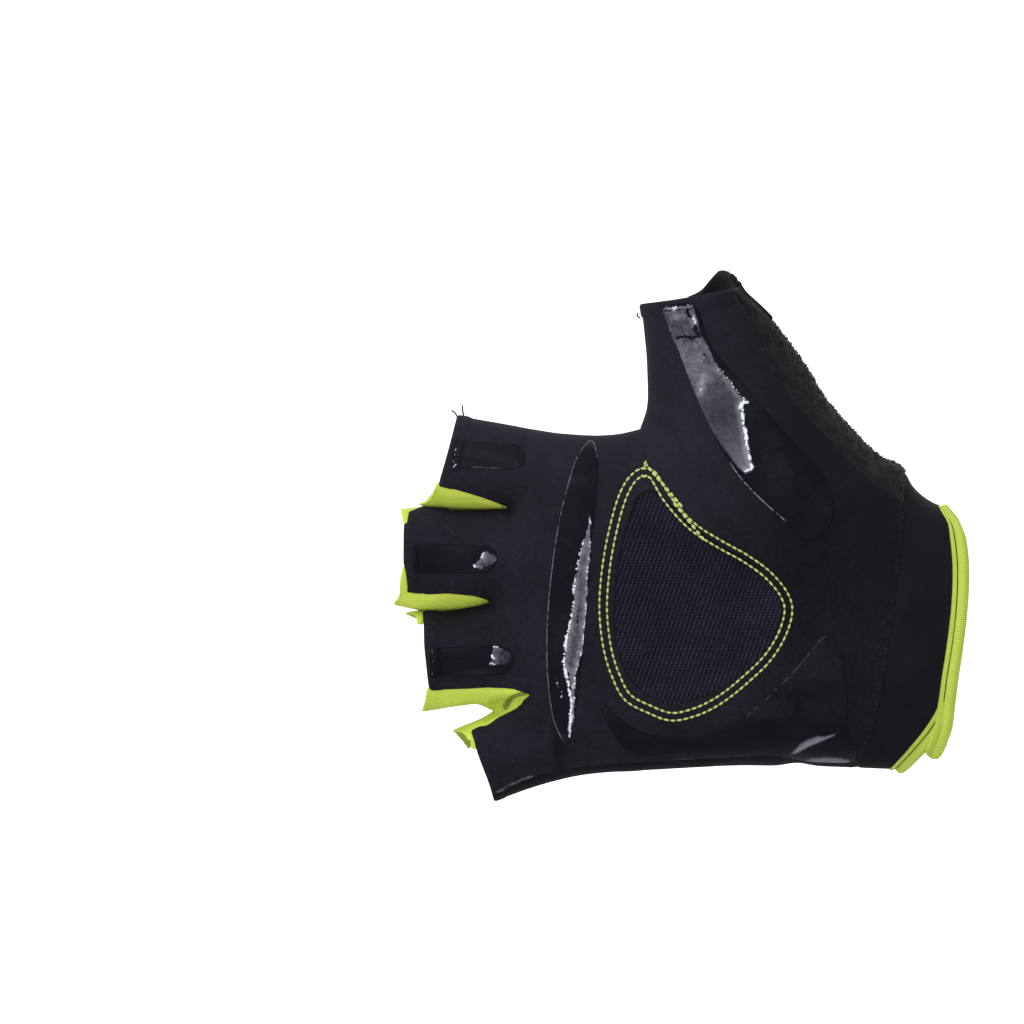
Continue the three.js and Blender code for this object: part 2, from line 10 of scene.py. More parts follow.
import bpy
import numpy as np
from bpy.props import FloatProperty, FloatVectorProperty, IntProperty, PointerProperty
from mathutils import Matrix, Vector


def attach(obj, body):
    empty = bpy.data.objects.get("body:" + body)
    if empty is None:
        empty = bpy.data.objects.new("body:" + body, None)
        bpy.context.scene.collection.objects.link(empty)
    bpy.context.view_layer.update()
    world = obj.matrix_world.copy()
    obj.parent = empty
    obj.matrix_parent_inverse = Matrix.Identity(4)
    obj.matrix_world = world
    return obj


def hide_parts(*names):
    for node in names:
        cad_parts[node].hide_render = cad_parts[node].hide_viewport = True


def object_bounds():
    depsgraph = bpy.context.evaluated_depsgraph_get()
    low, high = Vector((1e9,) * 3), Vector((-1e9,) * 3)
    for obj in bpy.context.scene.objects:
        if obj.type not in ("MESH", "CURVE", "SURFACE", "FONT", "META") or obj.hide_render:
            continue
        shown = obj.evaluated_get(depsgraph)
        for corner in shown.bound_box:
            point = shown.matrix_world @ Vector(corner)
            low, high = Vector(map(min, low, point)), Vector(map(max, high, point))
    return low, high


bl_info = {
    "name": "Weightlifting glove",
    "version": (1, 0, 0),
    "blender": (4, 5, 0),
    "location": "View3D > Sidebar > Glove",
    "description": "Builds a fingerless weightlifting glove from panels of cloth",
    "category": "Add Mesh",
}

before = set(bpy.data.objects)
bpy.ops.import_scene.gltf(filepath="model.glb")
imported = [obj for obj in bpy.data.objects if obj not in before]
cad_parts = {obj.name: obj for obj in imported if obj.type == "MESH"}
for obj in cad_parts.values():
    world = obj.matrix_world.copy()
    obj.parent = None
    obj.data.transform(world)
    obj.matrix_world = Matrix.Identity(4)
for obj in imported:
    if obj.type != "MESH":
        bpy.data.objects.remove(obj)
CAD_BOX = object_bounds()

MM = 0.001
FACET = 0.72  # side of a facet of the cloth; divides the distance between two finger slits
FINE = 0.34  # side of a facet of the prints
DEEPEST = 33.1  # half depth of the box that holds the glove
X_RANGE = (-141, 31)  # of the box
ROW_RANGE = (-80, 126)  # of the facets, counted from the slit between middle and ring finger
FAR_WRIST = 80  # X of a place past the wrist
FAR_DOWN = -120.0  # row and Z of a place below the heel
NOISE_CELLS = 32  # each way, after which the noise repeats
BATCH = 4096  # places that are measured at a time
NOWHERE = [(0, 99), (1, 99)]  # a line off the glove
NEAR = 5.0  # how far from a line its attribute reaches


def srgb(red, green, blue):
    """A colour given in 0 to 255, as the linear one that Blender keeps."""
    return tuple(
        v / 12.92 if v <= 0.04045 else ((v + 0.055) / 1.055) ** 2.4
        for v in (red / 255, green / 255, blue / 255)
    )


# Tables of the worn shape: the CAD model's, with finer lines at hems and slits

# Half thickness towards the palm and the back, and rounding width, by X.
DEPTHS = {
    "x": (-140, -118, -100, -84, -60, -35, -12, 10, 30),
    "palm": (8.4, 9.0, 11.0, 12.4, 13.0, 16.0, 19.0, 20.0, 20.5),
    "back": (8.6, 9.4, 11.0, 13.2, 14.2, 15.5, 17.5, 18.5, 19.0),
    "round": (9.6, 9.6, 10.0, 12.5, 14.5, 18.0, 24.0, 27.0, 28.0),
}
# Rises and hollows: x, z, radius, height
PALM_PADS = (
    (-44, 33, 19, 4.6), (-42, -13, 19, 2.8), (-67, 7, 17, -2.4), (-90, 37, 11, 1.6),
    (-93, 17, 10, 1.4), (-92, -3, 10, 1.4), (-84, -22, 10, 1.4),
)
BACK_PADS = ((-89, 37, 9, 2.4), (-92, 17, 9, 2.8), (-89, -3, 9, 2.4), (-82, -20, 8, 1.8))
THUMB = {"from": 42, "to": 66, "round": 10.6, "palm": 11.5, "back": 11.0, "forward": 6.0, "reach": 84}
CURL = {"from": -100, "drop": 0.0045}

# Narrow gaps between the fingers, from the crotch outwards: x, z, half width.
SLITS = {
    "ring_little": [(-104.3, -16.9, 0), (-105.4, -17.0, 0.4), (-106.9, -17.1, 1.2), (-108.6, -17.2, 1.9),
                    (-113.7, -18.5, 2.7), (-121.5, -20.8, 3.8), (-137, -24.3, 5.7)],
    "middle_ring": [(-105.8, 8.1, 0), (-108.5, 7.25, 0.03), (-114.2, 6.3, 0.04), (-120.6, 6.0, 0.06),
                    (-122.4, 6.1, 0.3), (-128, 6.4, 1.1), (-138, 6.4, 1.8)],
    "index_middle": [(-101.7, 29.65, 0), (-107, 29.4, 0.03), (-113.9, 29.5, 0.04), (-117.4, 29.8, 0.05),
                     (-120.2, 29.95, 0.07), (-124.5, 30.2, 0.8), (-134, 30.8, 2.0)],
}
SLIT_ROWS = {"ring_little": -13.4, "middle_ring": 8.2, "index_middle": 29.8}
THUMB_ROWS = ((51.4, 50.5), (98.9, 98.0))  # row, z
OUTLINE = {
    "wrist_top": [(26, 25.7), (8, 27.8), (-3.2, 30.7), (-8.3, 34.2), (-11.8, 38.2), (-15.2, 40.5)],
    "thumb_outer": [(-15.2, 40.5), (-20.2, 45.1), (-27.6, 53.8), (-33.6, 62.3), (-39.3, 70.6),
                    (-43.6, 75.6), (-47.9, 79.9), (-49.2, 82.6), (-51.4, 86), (-55, 92)],
    "thumb_inner": [(-74.4, 89), (-71.4, 76.6), (-70.3, 69.5), (-69.6, 60.3), (-69.7, 52.6),
                    (-71.3, 47.8)],
    "index_top": [(-71.3, 47.8), (-77, 46.7), (-84, 46.5), (-95.5, 47.6), (-105, 49.5),
                  (-113.4, 50.9), (-131, 53.2)],
    "heel_side": [(-121, -42.5), (-104.7, -37.7), (-95.5, -34.5), (-84, -31.8), (-71.3, -30.8),
                  (-57.5, -29.9), (-47, -29.5), (-40, -29.5), (-35, -28.9), (-30.5, -29.6), (-22, -30.2),
                  (-4, -31), (10, -32.8), (26, -35.5)],
}

CUFF_SEAM = [(-10.7, 60), (-10.7, 31.5), (-10.7, 26.7), (-11.8, 16.1), (-13.6, 2.8),
             (-16.1, -13.8), (-18.5, -22.3), (-21.5, -32), (-23, -50)]
WRIST_EDGE = [(-3.4, 60), (-3.3, 30.4), (-0.7, 26), (0.5, 18), (0.3, 8), (-0.6, -0.7), (-1.9, -9),
              (-3.2, -17), (-5.7, -21.4), (-9, -25.5), (-14, -31.1), (-17, -36), (-17, -50)]
SIDE_SEAM = [(-120, -39.5), (-104.2, -35.8), (-95.9, -32.4), (-84, -29.9), (-61.2, -28.4),
             (-41.9, -27.4), (-28, -27.6), (-5, -28.6)]
TERRY_SEAM = [(-5, 28), (-10.1, 31.1), (-15, 34.1), (-20.7, 38.5), (-29.9, 48.2), (-35.4, 54),
              (-39.6, 60), (-42.8, 66.5), (-46.5, 73.4), (-49.9, 79.4), (-54, 90)]
TERRY_BACK_SEAM = [(-64, 96), (-61, 78), (-57, 62), (-48, 48), (-34, 37), (-20, 29.5), (-5, 26)]
TAB_HEMS = [(-104, 110), (-111.6, 60), (-113.4, 51), (-117.8, 34), (-118.6, 30.4), (-124.4, 29.9),
            (-125.6, 20), (-124.9, 9.6), (-124.4, 7.0), (-121.8, 6.4), (-120.8, -3),
            (-119.7, -12.6), (-118.7, -18.5), (-110.6, -21.6), (-108.6, -27), (-104.9, -37.7),
            (-103.4, -50)]
THUMB_HEM = [(-80, 75.8), (-71.4, 76.5), (-61.9, 77.7), (-51.5, 79.8), (-40, 83)]
THUMB_BACK_HEM = [(-80, 75.8), (-71.4, 76.5), (-63, 77.6), (-57.4, 79.8), (-54.6, 82.7),
                  (-52.3, 84.7), (-50, 83.7), (-46, 82)]
GUSSETS = {
    "fourchette_index_middle": [(-100.6, 29.7), (-109.7, 32), (-117.7, 34.6), (-121.3, 30.4),
                                (-126.3, 29.4), (-124.9, 27.3), (-112, 28.1)],
    "fourchette_middle_ring": [(-104.6, 8.2), (-108.8, 9.3), (-119.6, 9.8), (-125, 10.4),
                               (-128.2, 6.9), (-123.8, 4.8), (-121.7, 4.0), (-112, 5.8)],
    "fourchette_ring_little": [(-95.8, -13.3), (-101.2, -12.1), (-105.6, -11.5), (-110.4, -12),
                               (-120, -12.7), (-121.6, -17.4), (-114, -21.8), (-110.6, -25.9),
                               (-109, -22.6), (-104.3, -18.9), (-99.6, -16.1)],
}
GUSSETS_FRONT = {  # the same on the palm side
    "fourchette_index_middle": [(-101.4, 29.65), (-107, 31.5), (-112.3, 33.1), (-117.7, 34.6),
                                (-118.5, 33.0), (-119.9, 31.4), (-121.2, 30.3), (-124, 30.2),
                                (-126.2, 29.1), (-124.9, 26.4), (-124.4, 28.9), (-121.5, 29.9),
                                (-117.4, 29.8), (-113.9, 29.5), (-107, 29.4)],
    "fourchette_middle_ring": [(-105.6, 8.1), (-109.3, 9.15), (-115.4, 9.7), (-120, 9.4),
                               (-124.6, 10.1), (-125.2, 16.6), (-126.1, 12), (-126.3, 10.2),
                               (-127, 8.7), (-128, 7.7), (-126, 6.5), (-123.8, 5.9), (-122.6, 4.9),
                               (-121.8, 2.8), (-121.5, 5.7), (-120.6, 6.0), (-114.2, 6.3),
                               (-108.5, 7.25)],
    "fourchette_ring_little": [(-97.0, -13.3), (-100.1, -11.9), (-102.5, -11.7), (-106.2, -11.6),
                               (-110.6, -12.0), (-115.7, -12.2), (-119.8, -12.3), (-120.9, -16.4),
                               (-121.8, -17.4), (-113.7, -21.3), (-111.7, -21.8), (-110.5, -23.2),
                               (-109.2, -26.2), (-110.1, -21.3), (-107.6, -20.1), (-105.5, -19.0),
                               (-102.5, -17.2), (-100.1, -15.8)],
}
BINDING_START = -8  # z on the palm at which the binding starts
BINDING_OVERLAP = -15  # z down to which it runs a second time
BINDING_END = [(-1.5, -19.6), (-2.9, -23.6), (-4.4, -26.6)]  # its last points on the palm
BINDING_STEP = 0.8
ELASTIC_LOBES = ((-0.72, 1.42, 1.2, 0.75), (-0.55, -0.62, 1.62, 1.4))  # height, aside, half sizes
ELASTIC_MIDDLE = (-0.62, 0.45)  # height and aside of a point within the section
MESH_WINDOW = [(-69, 33.6), (-57.5, 23.7), (-46.5, 17), (-41.2, 12.2), (-38.9, 6.7), (-41.4, -1),
               (-46.8, -7.6), (-56, -13.2), (-64.4, -15.4), (-71, -12.4), (-75, -6.7), (-77, 2.8),
               (-76.6, 14.5), (-74.3, 25.5), (-71.8, 32.2)]
MESH_MIDDLE = (-60, 6)  # a bump of the mesh, from which its columns run
MESH_LEAN = math.radians(20)  # of the columns
MESH_CELLS = 60  # each way from the middle, more than the window holds
GRIPS = {
    "grip_palm_bar": [(-82.4, 45.1), (-85.4, 42.2), (-88.3, 34), (-90.5, 24), (-92.1, 12), (-92.9, 0),
                      (-92.5, -11.1), (-91.1, -19.6), (-88.2, -24.6), (-86.8, -20), (-85.2, -9),
                      (-83.8, 5), (-82.7, 20), (-81.4, 33), (-81.1, 41.5)],
    "grip_thumb": [(-65.8, 75.4), (-62.1, 64.6), (-56.1, 49.9), (-48.8, 37), (-39.1, 27.4),
                   (-32, 22.2), (-27.6, 26.4), (-28.1, 35.2), (-36.8, 45.3), (-46.5, 56.4),
                   (-55.4, 67.4), (-58.9, 76)],
    "grip_heel": [(-80.3, -15.2), (-71.3, -21.6), (-57.5, -22.8), (-46.9, -17.7), (-36.8, -8.3),
                  (-27.8, 0.7), (-24.2, -10), (-23.6, -20), (-22, -26), (-22.2, -28.4), (-29, -28.7),
                  (-35.5, -28), (-40, -27.2), (-48, -26.6), (-60, -26.6), (-74, -26.4)],
}
FINGER_GRIPS = {  # hem, end, z, width, tilt
    "grip_index": (-114.6, -97.8, 41.5, 6.0, 0.03),
    "grip_middle": (-123.4, -104.2, 18.0, 6.4, 0.0),
    "grip_ring": (-119.6, -100.4, -5.2, 6.6, -0.03),
}
PULL_TAB = [(-50.4, 80.8), (-49, 78.7), (-45.5, 75.7), (-41.4, 73.0), (-39.0, 70.9), (-34, 76), (-40, 88)]

# Creases pressed into the cloth: face (-1 palm, 1 back), from x, z, to x, z, width, depth.
CREASES = (
    (-1, -106.5, -18.6, -96.8, -13.4, 1.9, 1.5),
    (-1, -97, 46, -97.5, 33, 1.5, 0.5),
    (-1, -100.5, 28, -102, 10, 1.6, 0.45),
    (-1, -98.5, 6, -97, -12, 1.6, 0.45),
    (-1, -92, -16, -95, -31, 1.5, 0.5),
    (-1, -69, 50, -57, 37, 1.7, 0.6),
    (-1, -71.5, 45, -76, 34, 1.6, 0.45),
    (-1, -62, 66, -48, 70, 1.4, 0.3),
    (-1, -21, 30, -33, 13, 2.2, 0.4),
    (-1, -24, 20, -30, 3, 1.8, 0.35),
    (1, -100, 46, -99, 32, 2.0, 0.7),
    (1, -105, 27, -105, 11, 2.0, 0.7),
    (1, -103, 4, -101, -12, 2.0, 0.7),
    (1, -95, -20, -97, -33, 2.0, 0.6),
    (1, -72, 44, -50, 34, 2.6, 0.8),
    (1, -28, 34, -24, -24, 2.4, 0.7),
    (1, -35, 30, -32, -22, 2.0, 0.4),
)
SHADED_FOLD_LINES = {  # lines with painted shade: sharp folds, and the pull tab's edge on the terry
    "palm_panel": [(-90.7, -20.0), (-90.2, -25), (-89.8, -30.5)],
    # the pull tab's lower edge: a painted shadow under it
    "thumb_terry_wipe": [(-49.2, 78.4), (-45.7, 75.3), (-41.9, 72.8), (-40.4, 71.7)],
    "fourchette_ring_little": [(-97.4, -12.9), (-100.2, -13.5), (-102.0, -14.9), (-103.2, -16.2)],
}
# Painted highlights on the palm, along the little finger's seam and the heel's crease: how much narrower,
# line
PAINTED_HIGHLIGHT_LINES = [
    (0.0, [(-104.2, -35.4), (-100.4, -33.7), (-96.2, -31.9)]),
    (0.3, [(-63.3, -28.0), (-54.7, -27.5), (-46.2, -27.35), (-39.0, -27.4)]),
]
SWELLS = ((-12.5, 37.8, 3.4, 1.1), (-33.0, 63.0, 5.0, 0.25))  # x, z, radius, height, both faces

# Painted reflections on the silicone prints, as ragged pale patches: paleness, softness and the Z
# below which it counts, strength of the painted highlight on the rim, and outlines of the patches.
PAINTED_REFLECTIONS = {
    "grip_palm_bar": (0.3, 0.0, 99, 0.35, [
        [(-82.8, 28.8), (-82.7, 20.7), (-83.3, 15), (-83.8, 5.1), (-84.6, -3), (-86.1, -8.7),
         (-86.5, -17.7), (-87.4, -22.8), (-87.9, -21), (-87.4, -15.5), (-88.2, -10.4), (-89.2, -6.4),
         (-88.7, -4.7), (-88.2, 0.2), (-86.8, 6.7), (-86.5, 12.4), (-85.3, 19.1), (-83.8, 23.9)],
    ]),
    "grip_thumb": (0.27, 0.8, 57, 0.7, [
        [(-66.4, 75.8), (-63.6, 67.7), (-61.6, 61.6), (-59.1, 55.4), (-56.1, 48.7), (-52.4, 43.2),
         (-49.2, 39.0), (-47.1, 37.2), (-45.2, 38.2), (-45.8, 41.9), (-46.5, 46.2), (-47.7, 49.9),
         (-47.7, 53.3), (-46.5, 54.2), (-48.9, 56), (-50.8, 58.8), (-53.2, 61.6), (-55.4, 65.8),
         (-57.5, 70.2), (-58.4, 73.5), (-59.3, 76.2)],
    ]),
    "grip_heel": (0.55, 1.0, 99, 0.12, [
        [(-36.6, -26.2), (-35, -24.1), (-32.9, -22.9), (-30.7, -22.1), (-29, -22.3), (-26.8, -21.7),
         (-25.6, -21), (-26.8, -22.6), (-29, -23.6), (-32, -24.9), (-35, -26.5), (-38, -27.5)],
        [(-34.1, -28.1), (-32, -27.3), (-29, -27.1), (-26, -27.2), (-23.2, -27.9), (-22, -30), (-30, -30)],
    ]),
    "grip_index": (0.1, 0.0, 99, 0.2, [[(-118, 42), (-117, 42), (-117, 41)]]),
    "grip_middle": (0.26, 0.0, 99, 0.0, [
        [(-106.5, 19.8), (-104.1, 18.4), (-104.7, 17), (-108.1, 15.6), (-109.7, 16.1), (-107.9, 18.2),
         (-107.4, 19.6)],
    ]),
    "grip_ring": (0.12, 0.0, 99, 0.0, [
        [(-105.2, -1.8), (-104.2, -2), (-102, -3), (-100.7, -4.3), (-101, -5.3), (-102.4, -6.3),
         (-104.4, -6.3), (-105.9, -6.5), (-105.9, -5.7), (-105.2, -4.9), (-105.4, -4.1), (-105, -3)],
    ]),
}
# Where a painted reflection is paler or darker: x, z, radius, change
REFLECTION_BRIGHTNESS = {
    "grip_thumb": [(-58.6, 63.5, 5.5, 0.24), (-60, 73, 4, -0.05), (-52.6, 51.5, 4, -0.1),
                   (-48.3, 40, 4, 0.15)],
}
# Gaps in the painted reflections: half width, and the line.
CRACKS = {
    "grip_thumb": [
        (0.12, [(-65.8, 75.0), (-59.6, 75.3)]),
        (0.3, [(-62.8, 68.6), (-61.2, 69.1), (-59.8, 68.8), (-57.8, 69.1)]),
        (0.4, [(-58.8, 71.2), (-58.2, 69.6)]),
        (0.3, [(-60.7, 74.7), (-59.8, 73.4)]),
        (0.02, [(-57.5, 65.6), (-56.4, 64.6), (-55.7, 63.3), (-54.5, 62.3)]),
        (0.05, [(-54.7, 60.9), (-53.6, 62.2)]),
    ],
    "grip_palm_bar": [(0.1, [(-88.0, -7.0), (-87.2, -12.0)]), (0.06, [(-85.9, 8.0), (-85.6, 2.0)])],
}
# Painted highlights, as bright broken lines on the prints: half width, and the line.
GLINTS = {
    "grip_palm_bar": [
        (0.14, [(-83.8, 23.9), (-85.3, 19.1), (-86.5, 12.4), (-86.8, 6.7), (-88.2, 0.2)]),
        (0.3, [(-88.2, 0.2), (-88.7, -4.7), (-88.8, -6.4), (-87.8, -10.4), (-87.1, -15.5), (-87.5, -20.5)]),
        (0.04, [(-82.9, 28.8), (-82.9, 20.7), (-83.5, 15), (-84, 5.1), (-84.8, -3), (-86.3, -8.7),
                (-86.7, -17.7), (-87.6, -22.8)]),
        (0.02, [(-90.6, -9), (-90.0, -12.5)]),
        (0.02, [(-89.4, -9), (-89.3, -14)]),
    ],
    "grip_thumb": [
        (0.42, [(-46.9, 54.0), (-48.0, 53.6), (-48.3, 52.6)]),
        (0.26, [(-47.9, 52.6), (-47.8, 49.9), (-47.3, 47.6), (-46.8, 44.2), (-46.2, 41), (-45.8, 38.8),
                (-47.2, 38.1)]),
        (0.1, [(-57.2, 57.0), (-56.6, 59.8), (-57.6, 56.2)]),
        (0.12, [(-53.2, 61.6), (-50.8, 58.8), (-48.9, 56), (-46.6, 54.2)]),
        (0.04, [(-64.8, 75.4), (-62.5, 75.8), (-60.4, 76.2)]),
        (0.12, [(-59.3, 74.0), (-58.8, 72.2)]),
        (0.04, [(-63.5, 73.6), (-61.6, 73.9)]),
    ],
    "grip_heel": [
        (0.1, [(-25.6, -21.1), (-29, -23.8), (-32, -25.1), (-35, -26.6), (-38.5, -27.2)]),
        (-0.1, [(-56, -26.2), (-48, -26.2), (-42, -26.7), (-37, -26.6)]),
    ],
    "grip_index": [
        (-0.1, [(-113.9, 44.3), (-113.5, 43.2), (-114.0, 42.2), (-113.6, 41.2)]),
        (-0.06, [(-114.1, 40.6), (-113.7, 39.8), (-114.2, 39.0)]),
    ],
    "grip_middle": [(0.3, [(-109.5, 16.3), (-108.9, 16.4)]), (0.22, [(-107.7, 18.2), (-107.2, 19.2)])],
    "grip_ring": [(0.26, [(-105.2, -4.3), (-104.9, -4.9)]), (0.3, [(-105.6, -6.0), (-104.9, -6.1)]),
                  (0.14, [(-104.9, -2.3), (-103.9, -2.3)]),
                  (-0.12, [(-119.2, -2.4), (-118.9, -5), (-119.2, -8.4)])],
}
# Parts of the prints' edges with a painted highlight, where they would catch the light.
BRIGHT_RIMS = {
    "grip_palm_bar": [(-80.9, 42.2), (-82.6, 45.3), (-84.8, 43.5), (-87.2, 36.2), (-89.3, 31.3),
                      (-91, 23.9), (-92.2, 15), (-92.6, 8.3), (-93.1, -3.1), (-92.4, -12.9),
                      (-91.3, -20.2), (-89.8, -24)],
    "grip_thumb": [(-49.5, 39.2), (-46, 35), (-43.5, 31.5), (-39.1, 27.4)],
    "grip_heel": [(-46, -17.2), (-39.1, -10.7), (-33, -4.8), (-29.2, -1)],
    "grip_index": [(-109, 38.6), (-104.6, 38.4)],
}
STITCH_LOOP = [(-70.5, 38.7), (-68.3, 38.2), (-64.2, 32.0), (-58.9, 26.2), (-52.7, 22.2),
               (-46.5, 18.7), (-41.2, 14.7), (-37.6, 10.2), (-36.5, 6.7), (-37.6, 1.4),
               (-41.2, -4.9), (-46.5, -10.2), (-52.7, -15.1), (-58.0, -17.8), (-64.2, -19.1),
               (-69.6, -17.3), (-74.9, -14.3), (-78.0, -8.5), (-79.8, -2.2), (-80.7, 6.7),
               (-80.1, 15.5), (-78.5, 24.4), (-76.2, 32.5), (-74.1, 36.5), (-72.2, 38.2)]
BACK_TACKS = (  # doubled stitches on the outer and the inner row: from x, z, to x, z
    (-70.0, 39.6, -62.1, 30.4),
    (-63.2, 30.4, -57.0, 22.8),
)
THREAD_TAIL = [(-70.5, 38.6), (-70.2, 39.4), (-69.8, 40.2)]
LOOSE_ENDS = {  # x, height above the hem towards the palm, z
    "loose_end_index_a": [(-113.2, -1.0, 50.4), (-113.9, -1.6, 51.6), (-114.8, -1.4, 52.2)],
    "loose_end_index_b": [(-111.8, -0.6, 50.6), (-112.1, -1.2, 52.2), (-112.1, -1.6, 53.4)],
    "loose_end_thumb": [(-71.2, -1.0, 73.2), (-72.0, -1.6, 73.9), (-71.8, -1.8, 74.6)],
}


# Lines and regions in the X-Z plane


def smooth(points, step=1.2, closed=False):
    """Points about step apart on a smooth line through the given ones."""
    p = np.asarray(points, float)
    before, after = (p[-1:], p[:2]) if closed else (2 * p[:1] - p[1:2], 2 * p[-1:] - p[-2:-1])
    p = np.vstack([before, p, after])
    t = np.linspace(0, 1, 24, endpoint=False)[:, None]
    runs = []
    for a, b, c, d in zip(p, p[1:], p[2:], p[3:]):
        da, db, dc = (max(np.linalg.norm(v) ** 0.5, 1e-6) for v in (b - a, c - b, d - c))
        leave = ((b - a) / da - (c - a) / (da + db) + (c - b) / db) * db
        reach = ((c - b) / db - (d - b) / (db + dc) + (d - c) / dc) * db
        runs.append(
            b + leave * t + (3 * (c - b) - 2 * leave - reach) * t**2
            + (2 * (b - c) + leave + reach) * t**3
        )
    line = np.vstack([*runs, p[-2:-1]])
    return spaced(line, step, len(points), closed)


def spaced(line, step, least=2, closed=False):
    """The line's points moved to equal distances of about step."""
    far = np.concatenate([[0], np.cumsum(np.linalg.norm(np.diff(line, axis=0), axis=1))])
    at = np.linspace(0, far[-1], max(least, round(far[-1] / step)) + 1)
    line = np.column_stack([np.interp(at, far, column) for column in line.T])
    return line[:-1] if closed else line


class Region:
    """A closed outline in the X-Z plane."""

    def __init__(self, points):
        self.start = np.asarray(points, float)
        self.edge = np.roll(self.start, -1, axis=0) - self.start
        self.edge[(self.edge**2).sum(1) < 1e-12] = 1e-6
        turn = (self.start[:, 0] * self.edge[:, 1] - self.start[:, 1] * self.edge[:, 0]).sum()
        inward = np.column_stack([-self.edge[:, 1], self.edge[:, 0]]) * (1 if turn > 0 else -1)
        self.inward = inward / np.linalg.norm(inward, axis=1)[:, None]

    def away(self, x, z):
        """Distance from the outline, positive inside, and its two slopes."""
        x, z = np.broadcast_arrays(np.asarray(x, float), np.asarray(z, float))
        flat = [self._part(x.ravel()[i : i + BATCH], z.ravel()[i : i + BATCH])
                for i in range(0, x.size, BATCH)]
        return [np.concatenate(column).reshape(x.shape) for column in zip(*flat)]

    def _part(self, x, z):
        (ax, az), (ex, ez) = self.start.T, self.edge.T
        dx, dz = x[:, None] - ax, z[:, None] - az
        t = np.clip((dx * ex + dz * ez) / (ex**2 + ez**2), 0, 1)
        rx, rz = dx - t * ex, dz - t * ez
        square = rx**2 + rz**2
        near = square.argmin(1)
        row = np.arange(len(x))
        far = np.sqrt(square[row, near])
        crossed = ((dz < 0) != (dz < ez)) & (dx < dz * ex / np.where(ez == 0, 1e-9, ez))
        side = np.where(crossed.sum(1) % 2, 1.0, -1.0)
        close = far < 0.02
        safe = np.where(close, 1, far)
        slope_x = np.where(close, self.inward[near, 0], side * rx[row, near] / safe)
        slope_z = np.where(close, self.inward[near, 1], side * rz[row, near] / safe)
        return side * far, slope_x, slope_z

    def distance(self, x, z):
        return self.away(x, z)[0]


def beyond(points, shift=0.0):
    """Everything on the wrist's side of a line that crosses the glove, moved by shift in X."""
    run = smooth([(x + shift, z) for x, z in points])
    return Region([*run, (FAR_WRIST, run[-1, 1]), (FAR_WRIST, run[0, 1])])


def off_line(points, x, z):
    """Distance from an open line."""
    line = smooth(points, 0.4)
    return -Region([*line, *line[-2:0:-1]]).distance(x, z)


def finger_grip(hem, end, z, width, tilt):
    """Outline of a print that runs from a finger's hem to a round end."""
    half = width / 2
    turns = np.linspace(math.pi / 2, -math.pi / 2, 13)
    points = [(hem, z + half)]
    points += [(end - half + half * math.cos(a), z + half * math.sin(a)) for a in turns]
    points.append((hem, z - half))
    return [(px, pz + tilt * (end - px)) for px, pz in points]


@lru_cache
def slit_lines():
    """Middle lines of the slits, with their half widths."""
    return {name: smooth(points, 0.6) for name, points in SLITS.items()}


@lru_cache
def regions():
    """Every named region of the glove's plan."""
    runs = [smooth(OUTLINE[name]) for name in ("wrist_top", "thumb_outer", "thumb_inner", "index_top")]
    for line in reversed(slit_lines().values()):
        runs += [line[::-1, :2] + line[::-1, 2:] * (0, 1), line[1:, :2] - line[1:, 2:] * (0, 1)]
    outline = np.vstack([*(run[:-1] for run in runs), smooth(OUTLINE["heel_side"])])
    made = {
        "glove": Region(outline),
        "cuff": beyond(CUFF_SEAM),
        "wrist": beyond(WRIST_EDGE, 1.5),
        "binding": beyond(WRIST_EDGE, 1.6),
        "tabs": beyond(TAB_HEMS),
        "side": Region([*smooth(SIDE_SEAM), (-5, -70), (-120, -70)]),
        "terry_front": Region([*smooth(TERRY_SEAM), (-20, 90), (10, 60)]),
        "terry_back": Region([*smooth(TERRY_BACK_SEAM)[::-1], (-20, 96), (10, 60)]),
        "thumb_end": Region([*smooth(THUMB_HEM), (-30, 120), (-90, 120)]),
        "thumb_back_end": Region([*smooth(THUMB_BACK_HEM), (-30, 78), (-30, 120), (-90, 120)]),
        "window": Region(smooth(MESH_WINDOW, closed=True)),
        "pull_tab": Region(PULL_TAB),
    }
    made.update({name: Region(points) for name, points in GUSSETS.items()})
    made.update({name + "_front": Region(points) for name, points in GUSSETS_FRONT.items()})
    made.update({name: Region(smooth(points, 0.8, True)) for name, points in GRIPS.items()})
    made.update({name: Region(finger_grip(*row)) for name, row in FINGER_GRIPS.items()})
    return made


# The worn form


def ease(value, low, high):
    """0 below low, 1 above high, and smooth between."""
    t = np.clip((value - low) / (high - low), 0, 1)
    return t * t * (3 - 2 * t)


def unit(vectors):
    """The vectors with a length of one."""
    return vectors / np.maximum(np.linalg.norm(vectors, axis=-1, keepdims=True), 1e-12)


def along(column, x):
    """A column of DEPTHS at x."""
    at, value = np.asarray(DEPTHS["x"], float), np.asarray(DEPTHS[column], float)
    i = np.clip(np.searchsorted(at, x) - 1, 0, len(at) - 2)
    return value[i] + (value[i + 1] - value[i]) * ease(x, at[i], at[i + 1])


def thumb_share(x, z):
    """1 on the thumb, 0 on the hand."""
    return ease(z, THUMB["from"], THUMB["to"]) * ease(-x, 5, 25)


def rises(rows, x, z):
    """Height of a table of round rises and hollows."""
    return sum(height * np.exp(-((x - px) ** 2 + (z - pz) ** 2) / radius**2)
               for px, pz, radius, height in rows)


def half_depth(x, z, palm):
    """Half thickness of the hand form towards the palm, or towards the back."""
    column, rows = ("palm", PALM_PADS) if palm else ("back", BACK_PADS)
    thumb = thumb_share(x, z)
    return along(column, x) * (1 - thumb) + THUMB[column] * thumb + rises(rows, x, z)


def rounding(x, z):
    """Width over which the form turns from its side to its face."""
    thumb = thumb_share(x, z)
    little = 1 - 0.2 * ease(-x, 92, 103) * ease(-z, 13, 20)
    return along("round", x) * little * (1 - thumb) + THUMB["round"] * thumb


